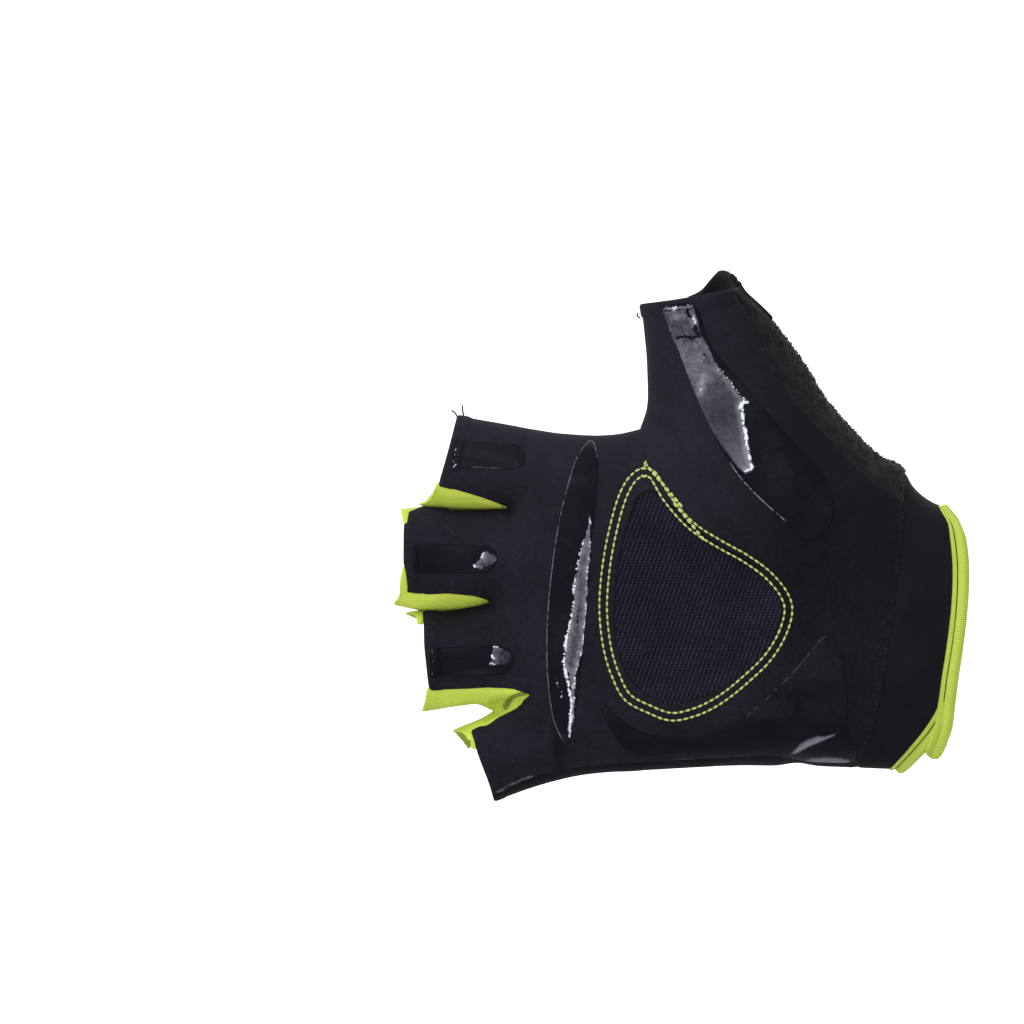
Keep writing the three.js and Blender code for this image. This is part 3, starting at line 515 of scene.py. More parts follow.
def lean(x, z):
    """How far a place is moved in Y: thumb and finger ends stand towards the palm side."""
    reach = np.maximum(CURL["from"] - x, 0)
    return -THUMB["forward"] * ease(z, THUMB["from"], THUMB["reach"]) - CURL["drop"] * reach**2


def sloped(value, x, z, h=0.05):
    """A function's value and its slopes in X and Z."""
    return (
        value(x, z),
        (value(x + h, z) - value(x - h, z)) / (2 * h),
        (value(x, z + h) - value(x, z - h)) / (2 * h),
    )


def edge_share(x, z):
    """1 at the outline, 0 where the face begins, with its slopes."""
    far, fx, fz = regions()["glove"].away(x, z)
    width, wx, wz = sloped(rounding, x, z)
    turning = far < width
    share = np.where(turning, 1 - far / width, 0)
    return (
        share,
        np.where(turning, -fx / width + far * wx / width**2, 0),
        np.where(turning, -fz / width + far * wz / width**2, 0),
    )


def form(x, y, z):
    """The form's value, zero on its face, and its slope there; Y is given without the lean."""
    edge, edge_x, edge_z = edge_share(x, z)
    palm, back = (sloped(lambda u, v, p=p: half_depth(u, v, p), x, z) for p in (True, False))
    depth, depth_x, depth_z = (np.where(y < 0, a, b) for a, b in zip(palm, back))
    level = y / depth
    size = np.maximum(np.hypot(edge, level), 1e-9)
    slope = np.stack(
        [
            (edge * edge_x - level**2 * depth_x / depth) / size,
            level / depth / size,
            (edge * edge_z - level**2 * depth_z / depth) / size,
        ],
        -1,
    )
    return size - 1, slope


def leaning(points, slope):
    """Moves points by the lean, and turns the slope with them."""
    x, _, z = points.T
    _, lean_x, lean_z = sloped(lean, x, z)
    moved = points + np.column_stack([0 * x, lean(x, z), 0 * x])
    turned = slope.copy()
    turned[:, 0] -= slope[:, 1] * lean_x
    turned[:, 2] -= slope[:, 1] * lean_z
    return moved, unit(turned)


LATTICE = np.random.default_rng(11).uniform(-1, 1, (NOISE_CELLS,) * 3)


def noise(points, size):
    """Smooth noise from -1 to 1 over patches of that size."""
    q = points / size
    cell = np.floor(q).astype(int)
    f = q - cell
    f = f * f * (3 - 2 * f)
    total = 0
    for i in (0, 1):
        for j in (0, 1):
            for k in (0, 1):
                weight = 1
                for axis, corner in enumerate((i, j, k)):
                    weight = weight * (f[:, axis] if corner else 1 - f[:, axis])
                at = (cell + (i, j, k)) % NOISE_CELLS
                total = total + weight * LATTICE[at[:, 0], at[:, 1], at[:, 2]]
    return total


def folds(points):
    """Height of the cloth's folds over the smooth form; Y is given without the lean."""
    x, y, z = points.T
    height = 0.22 * noise(points, 11.0) + 0.07 * noise(points + 40, 4.2)
    for side, ax, az, bx, bz, width, depth in CREASES:
        ex, ez = bx - ax, bz - az
        t = ((x - ax) * ex + (z - az) * ez) / (ex * ex + ez * ez)
        bend = 0.9 * np.sin(t * 5 + ax)
        across = ((x - ax) * ez - (z - az) * ex) / math.hypot(ex, ez) + bend
        fade = ease(t, -0.25, 0.2) * ease(-t, -1.25, -0.8) * ease(side * y, 1, 5)
        pressed = np.exp(-((across / width) ** 2)) - 0.45 * np.exp(-((across / width / 2.3) ** 2))
        height = height - depth * 1.5 * fade * pressed
    return height + rises(SWELLS, x, z)


def row_height(row, x):
    """Height of facet row at x: rows lie on the slits, so that no facet bridges two fingers."""
    rows = [FAR_DOWN]
    heights = [np.full_like(x, FAR_DOWN)]
    for name, line in slit_lines().items():
        rows.append(SLIT_ROWS[name])
        heights.append(np.interp(-x, -line[:, 0], line[:, 1]))
    for r, z in THUMB_ROWS:
        rows.append(r)
        heights.append(np.full_like(x, z))
    out = np.zeros((len(x), len(row)))
    for i in range(len(rows) - 1):
        inside = (row > rows[i]) if i else np.full(len(row), True)
        t = (row - rows[i]) / (rows[i + 1] - rows[i])
        out[:, inside] = (heights[i][:, None] * (1 - t) + heights[i + 1][:, None] * t)[:, inside]
    return out


def gathered(values, triangles, count):
    """For each point, the sum of the values of the triangles round it."""
    return np.column_stack([
        sum(np.bincount(triangles[:, i], column, count) for i in range(3)) for column in values.T
    ])


class Cloth:
    """A surface: points, normals, triangles and, per point, the place on the unfolded form."""

    def __init__(self, points, normals, place, triangles):
        self.points, self.normals, self.place, self.triangles = points, normals, place, triangles

    def slope(self, field):
        """Slope of a field on the surface, per point."""
        a, b, c = (self.points[self.triangles[:, i]] for i in range(3))
        fa, fb, fc = (field[self.triangles[:, i], None] for i in range(3))
        across = np.cross(b - a, c - a)
        area = np.maximum(np.linalg.norm(across, axis=1, keepdims=True), 1e-12)
        n = across / area
        slope = np.cross(n, c - b) * fa + np.cross(n, a - c) * fb + np.cross(n, b - a) * fc
        total = gathered(np.column_stack([slope, area]), self.triangles, len(self.points))
        return total[:, :3] / np.maximum(total[:, 3:], 1e-12)

    def even(self, field):
        """A field made to grow by one with each millimetre along the surface."""
        return field / np.maximum(np.linalg.norm(self.slope(field), axis=1), 0.08)


def mesh_normals(points, triangles):
    """Normals of the points of a triangle mesh."""
    a, b, c = (points[triangles[:, i]] for i in range(3))
    return unit(gathered(np.cross(b - a, c - a), triangles, len(points)))


def form_grid():
    """A grid round the glove: X, Y, each row's Z at every X, and the form's value, negative inside."""
    xs = np.arange(*X_RANGE, FACET)
    ys = np.arange(-DEEPEST, DEEPEST, FACET * 1.05)
    rows = SLIT_ROWS["middle_ring"] + FACET * np.arange(*ROW_RANGE)
    z = row_height(rows, xs)
    x = np.broadcast_to(xs[:, None], z.shape)
    edge = edge_share(x, z)[0]
    depth = np.where(ys[None, :, None] < 0, half_depth(x, z, True)[:, None],
                     half_depth(x, z, False)[:, None])
    value = np.hypot(edge[:, None], ys[None, :, None] / depth) - 1
    value[[0, -1]] = value[:, [0, -1]] = value[:, :, [0, -1]] = 1
    return xs, ys, z, value


def cell_points(xs, ys, z, value):
    """A number for each cell of the grid that the form's face crosses, and a point near it there."""
    inside = value < 0

    def node(i, j, k):
        return np.column_stack([xs[i], ys[j], z[i, k]])

    count = sum(inside[i : i - 1 or None, j : j - 1 or None, k : k - 1 or None].astype(np.int8)
                for i in (0, 1) for j in (0, 1) for k in (0, 1))
    i, j, k = np.nonzero((count > 0) & (count < 8))
    cell = np.full(inside.shape, -1)
    cell[i, j, k] = np.arange(len(i))
    total, hits = np.zeros((len(i), 3)), np.zeros(len(i))
    corners = [(a, b, c) for a in (0, 1) for b in (0, 1) for c in (0, 1)]
    for a in corners:
        for b in corners:
            if sum(b) - sum(a) != 1 or any(v < u for u, v in zip(a, b)):
                continue
            at_a, at_b = (i + a[0], j + a[1], k + a[2]), (i + b[0], j + b[1], k + b[2])
            va, vb = value[at_a], value[at_b]
            cross = (va < 0) != (vb < 0)
            t = np.where(cross, va / np.where(cross, va - vb, 1), 0)[:, None]
            total += np.where(cross[:, None], node(*at_a) * (1 - t) + node(*at_b) * t, 0)
            hits += cross
    return cell, total / hits[:, None]


def onto_form(points, passes=6):
    """Moves points onto the form's face."""
    for _ in range(passes):
        level, slope = form(*points.T)
        move = -slope * (level / np.maximum((slope**2).sum(1), 1e-6))[:, None]
        far = np.linalg.norm(move, axis=1, keepdims=True)
        points += move * np.minimum(1, 0.5 / np.maximum(far, 1e-9))
    return points


def cell_triangles(cell, inside, points):
    """Triangles between the points of neighbouring cells, each square cut along its short diagonal."""
    turns = (((0, 1, 0), (0, 0, 1)), ((0, 0, 1), (1, 0, 0)), ((1, 0, 0), (0, 1, 0)))
    triangles = []
    for axis, (u, v) in enumerate(turns):
        here = inside.take(range(inside.shape[axis] - 1), axis)
        following = inside.take(range(1, inside.shape[axis]), axis)
        at = np.nonzero(here != following)
        quad = np.column_stack([
            cell[tuple(at[n] - m * u[n] - o * v[n] for n in range(3))]
            for m, o in ((0, 0), (1, 0), (1, 1), (0, 1))
        ])
        quad = np.where(here[at][:, None], quad, quad[:, ::-1])
        a, b, c, d = quad.T
        first = np.linalg.norm(points[a] - points[c], axis=1)
        second = np.linalg.norm(points[b] - points[d], axis=1)
        pick = (first < second)[:, None]
        triangles.append(np.where(pick, quad[:, [0, 1, 2]], quad[:, [0, 1, 3]]))
        triangles.append(np.where(pick, quad[:, [0, 2, 3]], quad[:, [1, 2, 3]]))
    return np.vstack(triangles)


@lru_cache
def worn_cloth():
    """The whole glove's outer face as one surface, found in a grid and moved onto the form."""
    xs, ys, z, value = form_grid()
    cell, points = cell_points(xs, ys, z, value)
    place = onto_form(points)
    triangles = cell_triangles(cell, value < 0, place)
    _, slope = form(*place.T)
    points, normals = leaning(place, slope)
    points = points + normals * folds(place)[:, None]
    return Cloth(points, mesh_normals(points, triangles), place, triangles)


def palm_face(x, z):
    """Points of the palm's outer face over places of the plan, and their places on the form."""
    edge = np.clip(edge_share(x, z)[0], 0, 0.9995)
    place = np.column_stack([x, -half_depth(x, z, True) * np.sqrt(1 - edge**2), z])
    _, slope = form(*place.T)
    points, normals = leaning(place, slope)
    return points + normals * folds(place)[:, None], place


def palm_points(x, z, h=0.15):
    """Points of the palm's outer face with their normals."""
    points, _ = palm_face(x, z)
    over, _ = palm_face(x + h, z)
    up, _ = palm_face(x, z + h)
    return points, unit(np.cross(over - points, up - points))


def palm_sheet(region, margin, step):
    """A fine surface over a region of the palm, reaching past its outline by margin."""
    low, high = region.start.min(0) - margin - step, region.start.max(0) + margin + step
    xs, zs = (np.arange(a, b, step) for a, b in zip(low, high))
    x, z = (v.ravel() for v in np.meshgrid(xs, zs, indexing="ij"))
    points, place = palm_face(x, z)
    ids = np.arange(x.size).reshape(len(xs), len(zs))
    a, b, c, d = ids[:-1, :-1].ravel(), ids[1:, :-1].ravel(), ids[1:, 1:].ravel(), ids[:-1, 1:].ravel()
    triangles = np.vstack([np.column_stack([a, b, c]), np.column_stack([a, c, d])])
    return Cloth(points, mesh_normals(points, triangles), place, triangles)


# From a surface to a closed piece


def clip(rows, triangles, field):
    """Keeps the part of a surface where the field is above zero; rows are what each point holds."""
    keep = field > 0
    count = keep[triangles].sum(1)

    def turned(some, odd):
        first = odd.argmax(1)[:, None]
        return np.take_along_axis(some, (first + np.arange(3)) % 3, 1)

    one, two = triangles[count == 1], triangles[count == 2]
    one, two = turned(one, keep[one]), turned(two, ~keep[two])
    pairs = np.sort(np.vstack([one[:, [0, 1]], one[:, [0, 2]], two[:, [0, 1]], two[:, [0, 2]]]), axis=1)
    cuts, which = np.unique(pairs, axis=0, return_inverse=True)
    which = which.ravel() + len(rows)
    fa, fb = field[cuts[:, 0]], field[cuts[:, 1]]
    t = (fa / (fa - fb))[:, None]
    rows = np.vstack([rows, rows[cuts[:, 0]] * (1 - t) + rows[cuts[:, 1]] * t])
    ends = np.cumsum([len(one), len(one), len(two)])
    one_b, one_c, two_b, two_c = np.split(which, ends)
    triangles = np.vstack([
        triangles[count == 3],
        np.column_stack([one[:, 0], one_b, one_c]),
        np.column_stack([two_b, two[:, 1], two[:, 2]]),
        np.column_stack([two_b, two[:, 2], two_c]),
    ])
    return compact(rows, triangles)


def compact(rows, triangles):
    """Drops the rows that no triangle uses."""
    used, triangles = np.unique(triangles, return_inverse=True)
    return rows[used], triangles.reshape(-1, 3)


def biggest(rows, triangles):
    """The biggest connected part of a surface."""
    label = np.arange(len(rows))
    while True:
        following = label.copy()
        np.minimum.at(following, triangles.ravel(), np.repeat(label[triangles].min(1), 3))
        following = following[following]
        if (following == label).all():
            break
        label = following
    owner = label[triangles[:, 0]]
    names, sizes = np.unique(owner, return_counts=True)
    return compact(rows, triangles[owner == names[sizes.argmax()]])


def shell(points, normals, triangles, top, thick, steps=5):
    """A closed piece with rounded rims: outer face at top over the surface, thick through.

    Returns its points, faces, and for each point the index of the surface point that it is from.
    """
    top, thick = (np.broadcast_to(v, len(points)).astype(float)[:, None] for v in (top, thick))
    edges = np.vstack([triangles[:, [0, 1]], triangles[:, [1, 2]], triangles[:, [2, 0]]])
    size = len(points)
    free = ~np.isin(edges[:, 0] * size + edges[:, 1], edges[:, 1] * size + edges[:, 0])
    rim = edges[free]
    outward = np.zeros_like(points)
    for end in (0, 1):
        way = np.cross(points[rim[:, 1]] - points[rim[:, 0]], normals[rim[:, end]])
        np.add.at(outward, rim[:, end], way)
    for _ in range(2):
        spread = outward.copy()
        np.add.at(spread, rim[:, 0], outward[rim[:, 1]])
        np.add.at(spread, rim[:, 1], outward[rim[:, 0]])
        outward = spread
    on_rim = np.unique(rim)
    out = unit(outward[on_rim] - normals[on_rim] * (outward[on_rim] * normals[on_rim]).sum(1)[:, None])
    radius = thick[on_rim] / 2
    middle = points[on_rim] + normals[on_rim] * (top[on_rim] - radius)
    rings, layers = [], [points + normals * top]
    place_of = np.zeros(size, int)
    place_of[on_rim] = np.arange(len(on_rim))
    origin = [np.arange(size)]
    rings.append(rim)
    for step in range(1, steps):
        angle = math.pi * step / steps
        layers.append(middle + radius * (out * math.sin(angle) + normals[on_rim] * math.cos(angle)))
        rings.append(size + (step - 1) * len(on_rim) + place_of[rim])
        origin.append(on_rim)
    bottom = size + (steps - 1) * len(on_rim)
    layers.append(points + normals * (top - thick))
    origin.append(np.arange(size))
    rings.append(bottom + rim)
    faces = [triangles, bottom + triangles[:, ::-1]]
    for upper, lower in zip(rings, rings[1:]):
        a, b = upper.T
        c, d = lower.T
        faces += [np.column_stack([b, a, c]), np.column_stack([b, c, d])]
    return np.vstack(layers), np.vstack(faces), np.concatenate(origin)


def cut_piece(cloth, over, under, top, thick, snap=FACET, steps=5):
    """Cuts a piece of cloth and gives it its thickness.

    The piece ends with a rounded edge at the lines in over. The entries of under are pairs: a line, and
    the share, up to 1, by which the piece dips there and runs on below the neighbour's edge.
    """
    rim, far, dip = thick / 2, np.full(len(cloth.points), 99.0), 0
    edge = np.minimum.reduce([cloth.even(part) for part in over] + [far])
    for part, share in under:
        lap = cloth.even(part)
        edge = np.minimum(edge, lap + 0.8 * share)
        lower = 0.26 * np.exp(-((np.maximum(lap, 0) / 0.9) ** 2)) + 0.4 * np.maximum(-lap, 0)
        dip = np.maximum(dip, share * lower)
    field = edge - rim
    slope = cloth.slope(field)
    steep = np.maximum(np.linalg.norm(slope, axis=1, keepdims=True), 0.3)
    close = np.abs(field) < 0.24 * snap
    points = cloth.points - np.where(close[:, None], field[:, None] * slope / steep**2, 0)
    field = np.where(close, 1e-7, field)
    top = np.broadcast_to(top, len(points)) - dip
    rows = np.column_stack([points, cloth.normals, cloth.place, top, edge])
    rows, triangles = biggest(*clip(rows, cloth.triangles, field))
    points, faces, origin = shell(rows[:, :3], unit(rows[:, 3:6]), triangles, rows[:, 9], thick, steps)
    return points, faces, rows[origin]


def make_object(name, points, faces, attributes=None, edges=()):
    """A mesh object in metres, smooth, with float or vector attributes per point."""
    mesh = bpy.data.meshes.new(name)
    mesh.from_pydata((np.asarray(points) * MM).tolist(), list(edges), np.asarray(faces).tolist())
    mesh.shade_smooth()
    if len(faces) and len(faces[0]) == 3:
        normals = mesh_normals(np.asarray(points), np.asarray(faces))
        mesh.normals_split_custom_set_from_vertices(normals.tolist())
    for key, values in (attributes or {}).items():
        values = np.asarray(values, np.float32)
        kind, slot = ("FLOAT_VECTOR", "vector") if values.ndim == 2 else ("FLOAT", "value")
        mesh.attributes.new(key, kind, "POINT").data.foreach_set(slot, values.ravel())
    mesh.update()
    thing = bpy.data.objects.new(name, mesh)
    bpy.context.scene.collection.objects.link(thing)
    return thing


def settle_piece(thing, material, nodes=()):
    """Gives a finished piece its material, its body and the nodes it stands for."""
    thing.data.materials.clear()
    thing.data.materials.append(material)
    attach(thing, "root")
    if nodes:
        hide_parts(*nodes)
    return thing


# Nodes


class Value:
    """A socket that can be used in Python expressions."""

    def __init__(self, graph, socket):
        self.graph, self.socket = graph, socket

    def math(self, operation, *others, first=None):
        values = [self if first is None else first, *others]
        return self.graph.node("ShaderNodeMath", {"operation": operation}, dict(enumerate(values)))[0]

    def __add__(self, other):
        return self.math("ADD", other)

    __radd__ = __add__

    def __sub__(self, other):
        return self.math("SUBTRACT", other)

    def __rsub__(self, other):
        return self.math("SUBTRACT", self, first=other)

    def __mul__(self, other):
        return self.math("MULTIPLY", other)

    __rmul__ = __mul__

    def __truediv__(self, other):
        return self.math("DIVIDE", other)

    def between(self, low, high):
        """0 below low, 1 above high, and smooth between."""
        settings = {"interpolation_type": "SMOOTHSTEP"}
        return self.graph.node("ShaderNodeMapRange", settings, {0: self, 1: low, 2: high})[0]


class Graph:
    """A node tree that is filled from Python."""

    def __init__(self, tree):
        self.tree = tree
        tree.nodes.clear()

    def node(self, kind, settings=None, values=None):
        """Adds a node of that type, with its settings first and then its sockets' values or links."""
        made = self.tree.nodes.new(kind)
        made.location = (180 * (len(self.tree.nodes) % 12), -220 * (len(self.tree.nodes) // 12))
        for key, value in (settings or {}).items():
            setattr(made, key, value)
        for key, value in (values or {}).items():
            socket = made.inputs[key]
            if isinstance(value, Value):
                self.tree.links.new(value.socket, socket)
            else:
                socket.default_value = value
        return [Value(self, socket) for socket in made.outputs if socket.enabled]

    def place(self):
        """X, Y and Z on the object, in millimetres, and the vector in metres."""
        vector = self.node("ShaderNodeTexCoord")[3]
        x, y, z = self.node("ShaderNodeSeparateXYZ", None, {0: vector})
        return x * 1000, y * 1000, z * 1000, vector

    def noise(self, vector, size, detail=2.0, rough=0.5):
        """Noise from 0 to 1 over patches of that size, in millimetres."""
        values = {"Vector": vector, "Scale": 1000 / size, "Detail": detail, "Roughness": rough}
        return self.node("ShaderNodeTexNoise", None, values)[0]

    def mix(self, factor, a, b):
        """A colour from a, at factor 0, to b."""
        a, b = (v if isinstance(v, Value) else (*v, 1) for v in (a, b))
        settings = {"data_type": "RGBA"}
        return self.node("ShaderNodeMix", settings, {0: factor, 6: a, 7: b})[0]

    def attribute(self, name):
        return self.node("ShaderNodeAttribute", {"attribute_name": name})[2]

    def bump(self, height, distance, strength):
        """A normal bent by a height from 0 to 1; distance is what 1 stands for, in millimetres."""
        values = {"Height": height, "Distance": distance * MM, "Strength": strength}
        return self.node("ShaderNodeBump", None, values)[0]

    def surface(self, **values):
        """The shader and the output."""
        names = {key.replace("_", " ").title().replace("Ior", "IOR"): v for key, v in values.items()}
        for key, value in names.items():
            if isinstance(value, tuple) and len(value) == 3:
                names[key] = (*value, 1)
        shader = self.node("ShaderNodeBsdfPrincipled", None, names)[0]
        self.node("ShaderNodeOutputMaterial", None, {0: shader})


def material(name):
    """A material by name, and whether it is new and still has to be filled."""
    made = bpy.data.materials.get(name)
    if made:
        return made, None
    made = bpy.data.materials.new(name)
    made.use_nodes = True
    return made, Graph(made.node_tree)


def yarn_shade(g, at, patch_size, yarn_size):
    """A shade of broad patches and single yarns, and the yarns by themselves."""
    patch, yarn = g.noise(at, patch_size, 3), g.noise(at, yarn_size, 2)
    return (patch * 0.6 + yarn * 0.5).between(0.3, 0.85), yarn


def suede():
    """Matte suede with a short nap: paler at worn edges, with painted highlights on given lines, painted
    shade in its sharp folds and towards the heel and the wrist, and painted light towards the top.
    """
    made, g = material("napped_suede")
    if g:
        look = bpy.context.scene.glove_finish
        x, _, z, at = g.place()
        mottle, nap = g.noise(at, 14, 3), g.noise(at, 1.3, 4, 0.65)
        fibre, edge = g.noise(at, 0.28, 2, 0.6), g.attribute("edge")
        shade = mottle * 0.4 + nap * 0.5 + fibre * 0.3 - 0.1
        base = g.mix(shade.between(0.2, 0.85), tuple(look.suede_dark), tuple(look.suede_light))
        worn = (1 - edge.between(0.3, 1.5)) * nap.between(0.4, 0.75) * 0.25
        tired = 1 - edge.between(1.0, 9.0) * 0.7
        lint = g.noise(at, 0.42, 1).between(0.7, 0.8) * g.noise(at, 5, 3).between(0.35, 0.65) * tired
        base = g.mix(lint * 0.4, base, srgb(104, 105, 112))
        # Painted light: paler towards the top and towards the fingers, where light from above and from the
        # left falls.
        base = g.mix((z.between(5, 50) * 0.9 + x.between(-45, -100) * 0.3) * 0.16, base, srgb(60, 60, 68))
        # Painted shade: darker towards the heel and the wrist.
        shade = x.between(-62, -30) * (z.between(-10, 20) * 0.3 + 0.2)
        base = g.mix(shade, base, srgb(4, 4, 6))
        # Painted shade along the sharp folds.
        base = g.mix(g.attribute("fold_shade").between(2.6, 4.9) * 0.5, base, srgb(5, 5, 7))
        # Painted highlight along the seam and the crease.
        line_highlight = g.attribute("line_highlight").between(4.5, 4.85) * nap.between(0.35, 0.6) * 0.6
        base = g.mix(line_highlight, base, srgb(120, 121, 128))
        g.surface(
            base_color=g.mix(worn, base, srgb(58, 59, 65)),
            roughness=nap * 0.12 + 0.82,
            normal=g.bump(nap * 0.6 + fibre * 0.4, 0.16, 0.75),
            sheen_weight=0.015,
            sheen_roughness=0.5,
            specular_ior_level=0.05,
        )
    return made


def knit(name, light, dark, wale, relief, shine):
    """Stretch cloth with fine wales that run across the fingers, with painted shade along its sharp folds.
    """
    made, g = material(name)
    if g:
        x, y, z, at = g.place()
        wander = g.noise(at, 9, 2)
        rib = ((x * (2 * math.pi / wale)) + wander * 2.0).math("SINE") * 0.5 + 0.5
        course = ((z + y * 0.6) * (2 * math.pi / (wale * 0.8)) + wander * 2.0).math("SINE") * 0.5 + 0.5
        loop = rib * 0.6 + course * 0.4
        fuzz, patch = g.noise(at, 0.35, 2), g.noise(at, 12, 3)
        shade = (loop * 0.2 + fuzz * 0.25 + patch * 0.75).between(0.3, 0.9)
        # Colour of the painted shade along the sharp folds.
        deep = tuple(v * 0.4 for v in dark)
        g.surface(
            base_color=g.mix(g.attribute("fold_shade").between(4.2, 4.75), g.mix(shade, dark, light), deep),
            roughness=fuzz * 0.15 + 0.68,
            normal=g.bump(loop * 0.7 + fuzz * 0.3, relief, 0.7),
            sheen_weight=shine * 0.1,
            sheen_roughness=0.4,
            specular_ior_level=shine,
        )
    return made


def stretch():
    """Black knit of the back and the cuff."""
    look = bpy.context.scene.glove_finish
    return knit("stretch_cloth", tuple(look.stretch_light), tuple(look.stretch_dark), 0.55, 0.05, 0.06)


def neon():
    """Neon knit of the gussets."""
    look = bpy.context.scene.glove_finish
    return knit("neon_knit", tuple(look.neon_light), tuple(look.neon_dark), 0.5, 0.04, 0.3)


def edging():
    """Neon elastic, with painted shade between its ribs."""
    made, g = material("neon_edging")
    if g:
        look = bpy.context.scene.glove_finish
        *_, at = g.place()
        patch, fuzz = g.noise(at, 7, 3), g.noise(at, 0.4, 2)
        # Painted shade between the ribs, mixed with the elastic's own patchy tone.
        hollow = g.attribute("hollow")
        shade = (patch * 0.25 + fuzz * 0.15 + (1 - hollow) * 0.8).between(0.1, 1.05)
        g.surface(
            base_color=g.mix(shade, tuple(look.edging_dark), tuple(look.edging_light)),
            roughness=fuzz * 0.15 + 0.6,
            normal=g.bump(fuzz, 0.06, 0.6),
            sheen_weight=0.1,
            specular_ior_level=0.3,
        )
    return made


def mesh_ground():
    """Bluish black ground of the mesh."""
    made, g = material("mesh_ground")
    if g:
        *_, at = g.place()
        shade, yarn = yarn_shade(g, at, 9, 0.3)
        g.surface(
            base_color=g.mix(shade, srgb(9, 9, 15), srgb(21, 21, 33)),
            roughness=yarn * 0.15 + 0.62,
            normal=g.bump(yarn, 0.08, 0.7),
            specular_ior_level=0.08,
        )
    return made


def mesh_yarn():
    """Slightly shiny yarn of the mesh's bumps."""
    made, g = material("mesh_yarn")
    if g:
        *_, at = g.place()
        shade, yarn = yarn_shade(g, at, 9, 0.2)
        g.surface(
            base_color=g.mix(shade, srgb(26, 26, 38), srgb(48, 48, 68)),
            roughness=yarn * 0.15 + 0.5,
            normal=g.bump(yarn, 0.05, 0.6),
            sheen_weight=0.02,
            specular_ior_level=0.16,
        )
    return made


def terry():
    """Dark looped cloth, with a painted shadow along the edge of the pull tab."""
    made, g = material("terry_cloth")
    if g:
        look = bpy.context.scene.glove_finish
        *_, at = g.place()
        shade, yarn = yarn_shade(g, at, 3.2, 0.25)
        pile = g.mix(shade, tuple(look.terry_dark), tuple(look.terry_light))
        g.surface(
            # Painted shadow under the pull tab's edge.
            base_color=g.mix(g.attribute("fold_shade").between(4.1, 4.8), pile, srgb(9, 9, 11)),
            roughness=0.92,
            normal=g.bump(yarn, 0.08, 0.8),
            sheen_weight=0.05,
            sheen_roughness=0.5,
            specular_ior_level=0.1,
        )
    return made


def silicone():
    """Glossy print: black film, with painted reflections as ragged pale patches and painted highlights on
    broken lines and rims, where the attributes say so.
    """
    made, g = material("silicone_film")
    if g:
        look = bpy.context.scene.glove_finish
        x, _, z, at = g.place()
        rag, crumb = g.noise(at, 1.6, 4, 0.65), g.noise(at, 0.5, 3, 0.6)
        flow, soft, blur = g.noise(at, 4.5, 3, 0.55), g.attribute("soft"), g.attribute("blur")
        ragged = 1 - soft * 0.75
        crack = (flow - 0.5).math("ABSOLUTE").between(0.004, 0.03) * 0.3 + 0.7
        # Painted reflection: ragged pale patches, broken by cracks.
        depth = g.attribute("reflection_patch") + ((rag - 0.5) * 1.0 + (crumb - 0.5) * 0.5) * ragged
        in_reflection = depth.between(0.0, soft * 0.7 + 0.12) * (soft + (1 - soft) * crack)
        # Painted highlights on broken lines.
        glint = g.attribute("glint")
        crumbled = ((rag - 0.5) * 1.4 + (crumb - 0.49) * 1.3) * (1 - blur * 0.8)
        bright = (glint + crumbled).between(0.0, 0.12 + blur * 0.4)
        # Painted highlight on parts of the rim.
        rim = g.attribute("rim") * (1 - g.attribute("edge").between(0.22, 0.34))
        rim = rim * rag.between(blur * 0.13 + 0.35, 0.55)
        # The painted reflection is paler near the painted highlights; this is its colour.
        near = (glint + 1.6).between(0.0, 1.6) * 0.25
        pale = g.attribute("pale") * 0.8 + near + ((rag - 0.5) * 0.8 + (crumb - 0.5) * 0.5) * ragged * 0.7
        reflection_grey = g.mix(pale.between(0.0, 1.0), srgb(36, 36, 44), srgb(160, 161, 168))
        film = g.mix(g.noise(at, 6, 2), tuple(look.silicone_dark), tuple(look.silicone_light))
        # Painted light: the film is paler over the upper part of the palm bar.
        film = g.mix(z.between(10, 45) * x.between(-70, -95) * 0.09, film, srgb(70, 70, 78))
        dust = g.noise(at, 0.3, 1).between(0.74, 0.78) * 0.25
        colour = g.mix(in_reflection, g.mix(dust, film, srgb(90, 91, 98)), reflection_grey)
        colour = g.mix(rim, colour, srgb(150, 151, 158))
        g.surface(
            base_color=g.mix(bright * (1 - blur * 0.5), colour, srgb(226, 227, 232)),
            roughness=in_reflection * 0.15 + 0.3 + crumb * 0.06,
            normal=g.bump(flow * 0.6 + crumb * 0.12, 0.1, 0.5),
            specular_ior_level=0.05,
        )
    return made


def thread(name, light, dark):
    """Twisted sewing thread."""
    made, g = material(name)
    if g:
        x, y, z, at = g.place()
        twist = ((x + z * 1.7 + y) * (2 * math.pi / 0.28)).math("SINE") * 0.5 + 0.5
        fuzz = g.noise(at, 0.5, 2)
        g.surface(
            base_color=g.mix((twist * 0.6 + fuzz * 0.4).between(0.1, 0.8), dark, light),
            roughness=fuzz * 0.2 + 0.45,
            normal=g.bump(twist, 0.04, 0.6),
            specular_ior_level=0.4,
        )
    return made


def neon_thread():
    return thread("neon_thread", srgb(216, 224, 140), srgb(146, 160, 62))


# A darker copy of the neon thread: painted shade on the thread where it dips between the stitches.
def shaded_under_thread():
    return thread("shaded_under_thread", srgb(104, 120, 40), srgb(60, 72, 22))


def black_thread():
    return thread("black_thread", srgb(50, 51, 57), srgb(18, 18, 22))


# Geometry Nodes


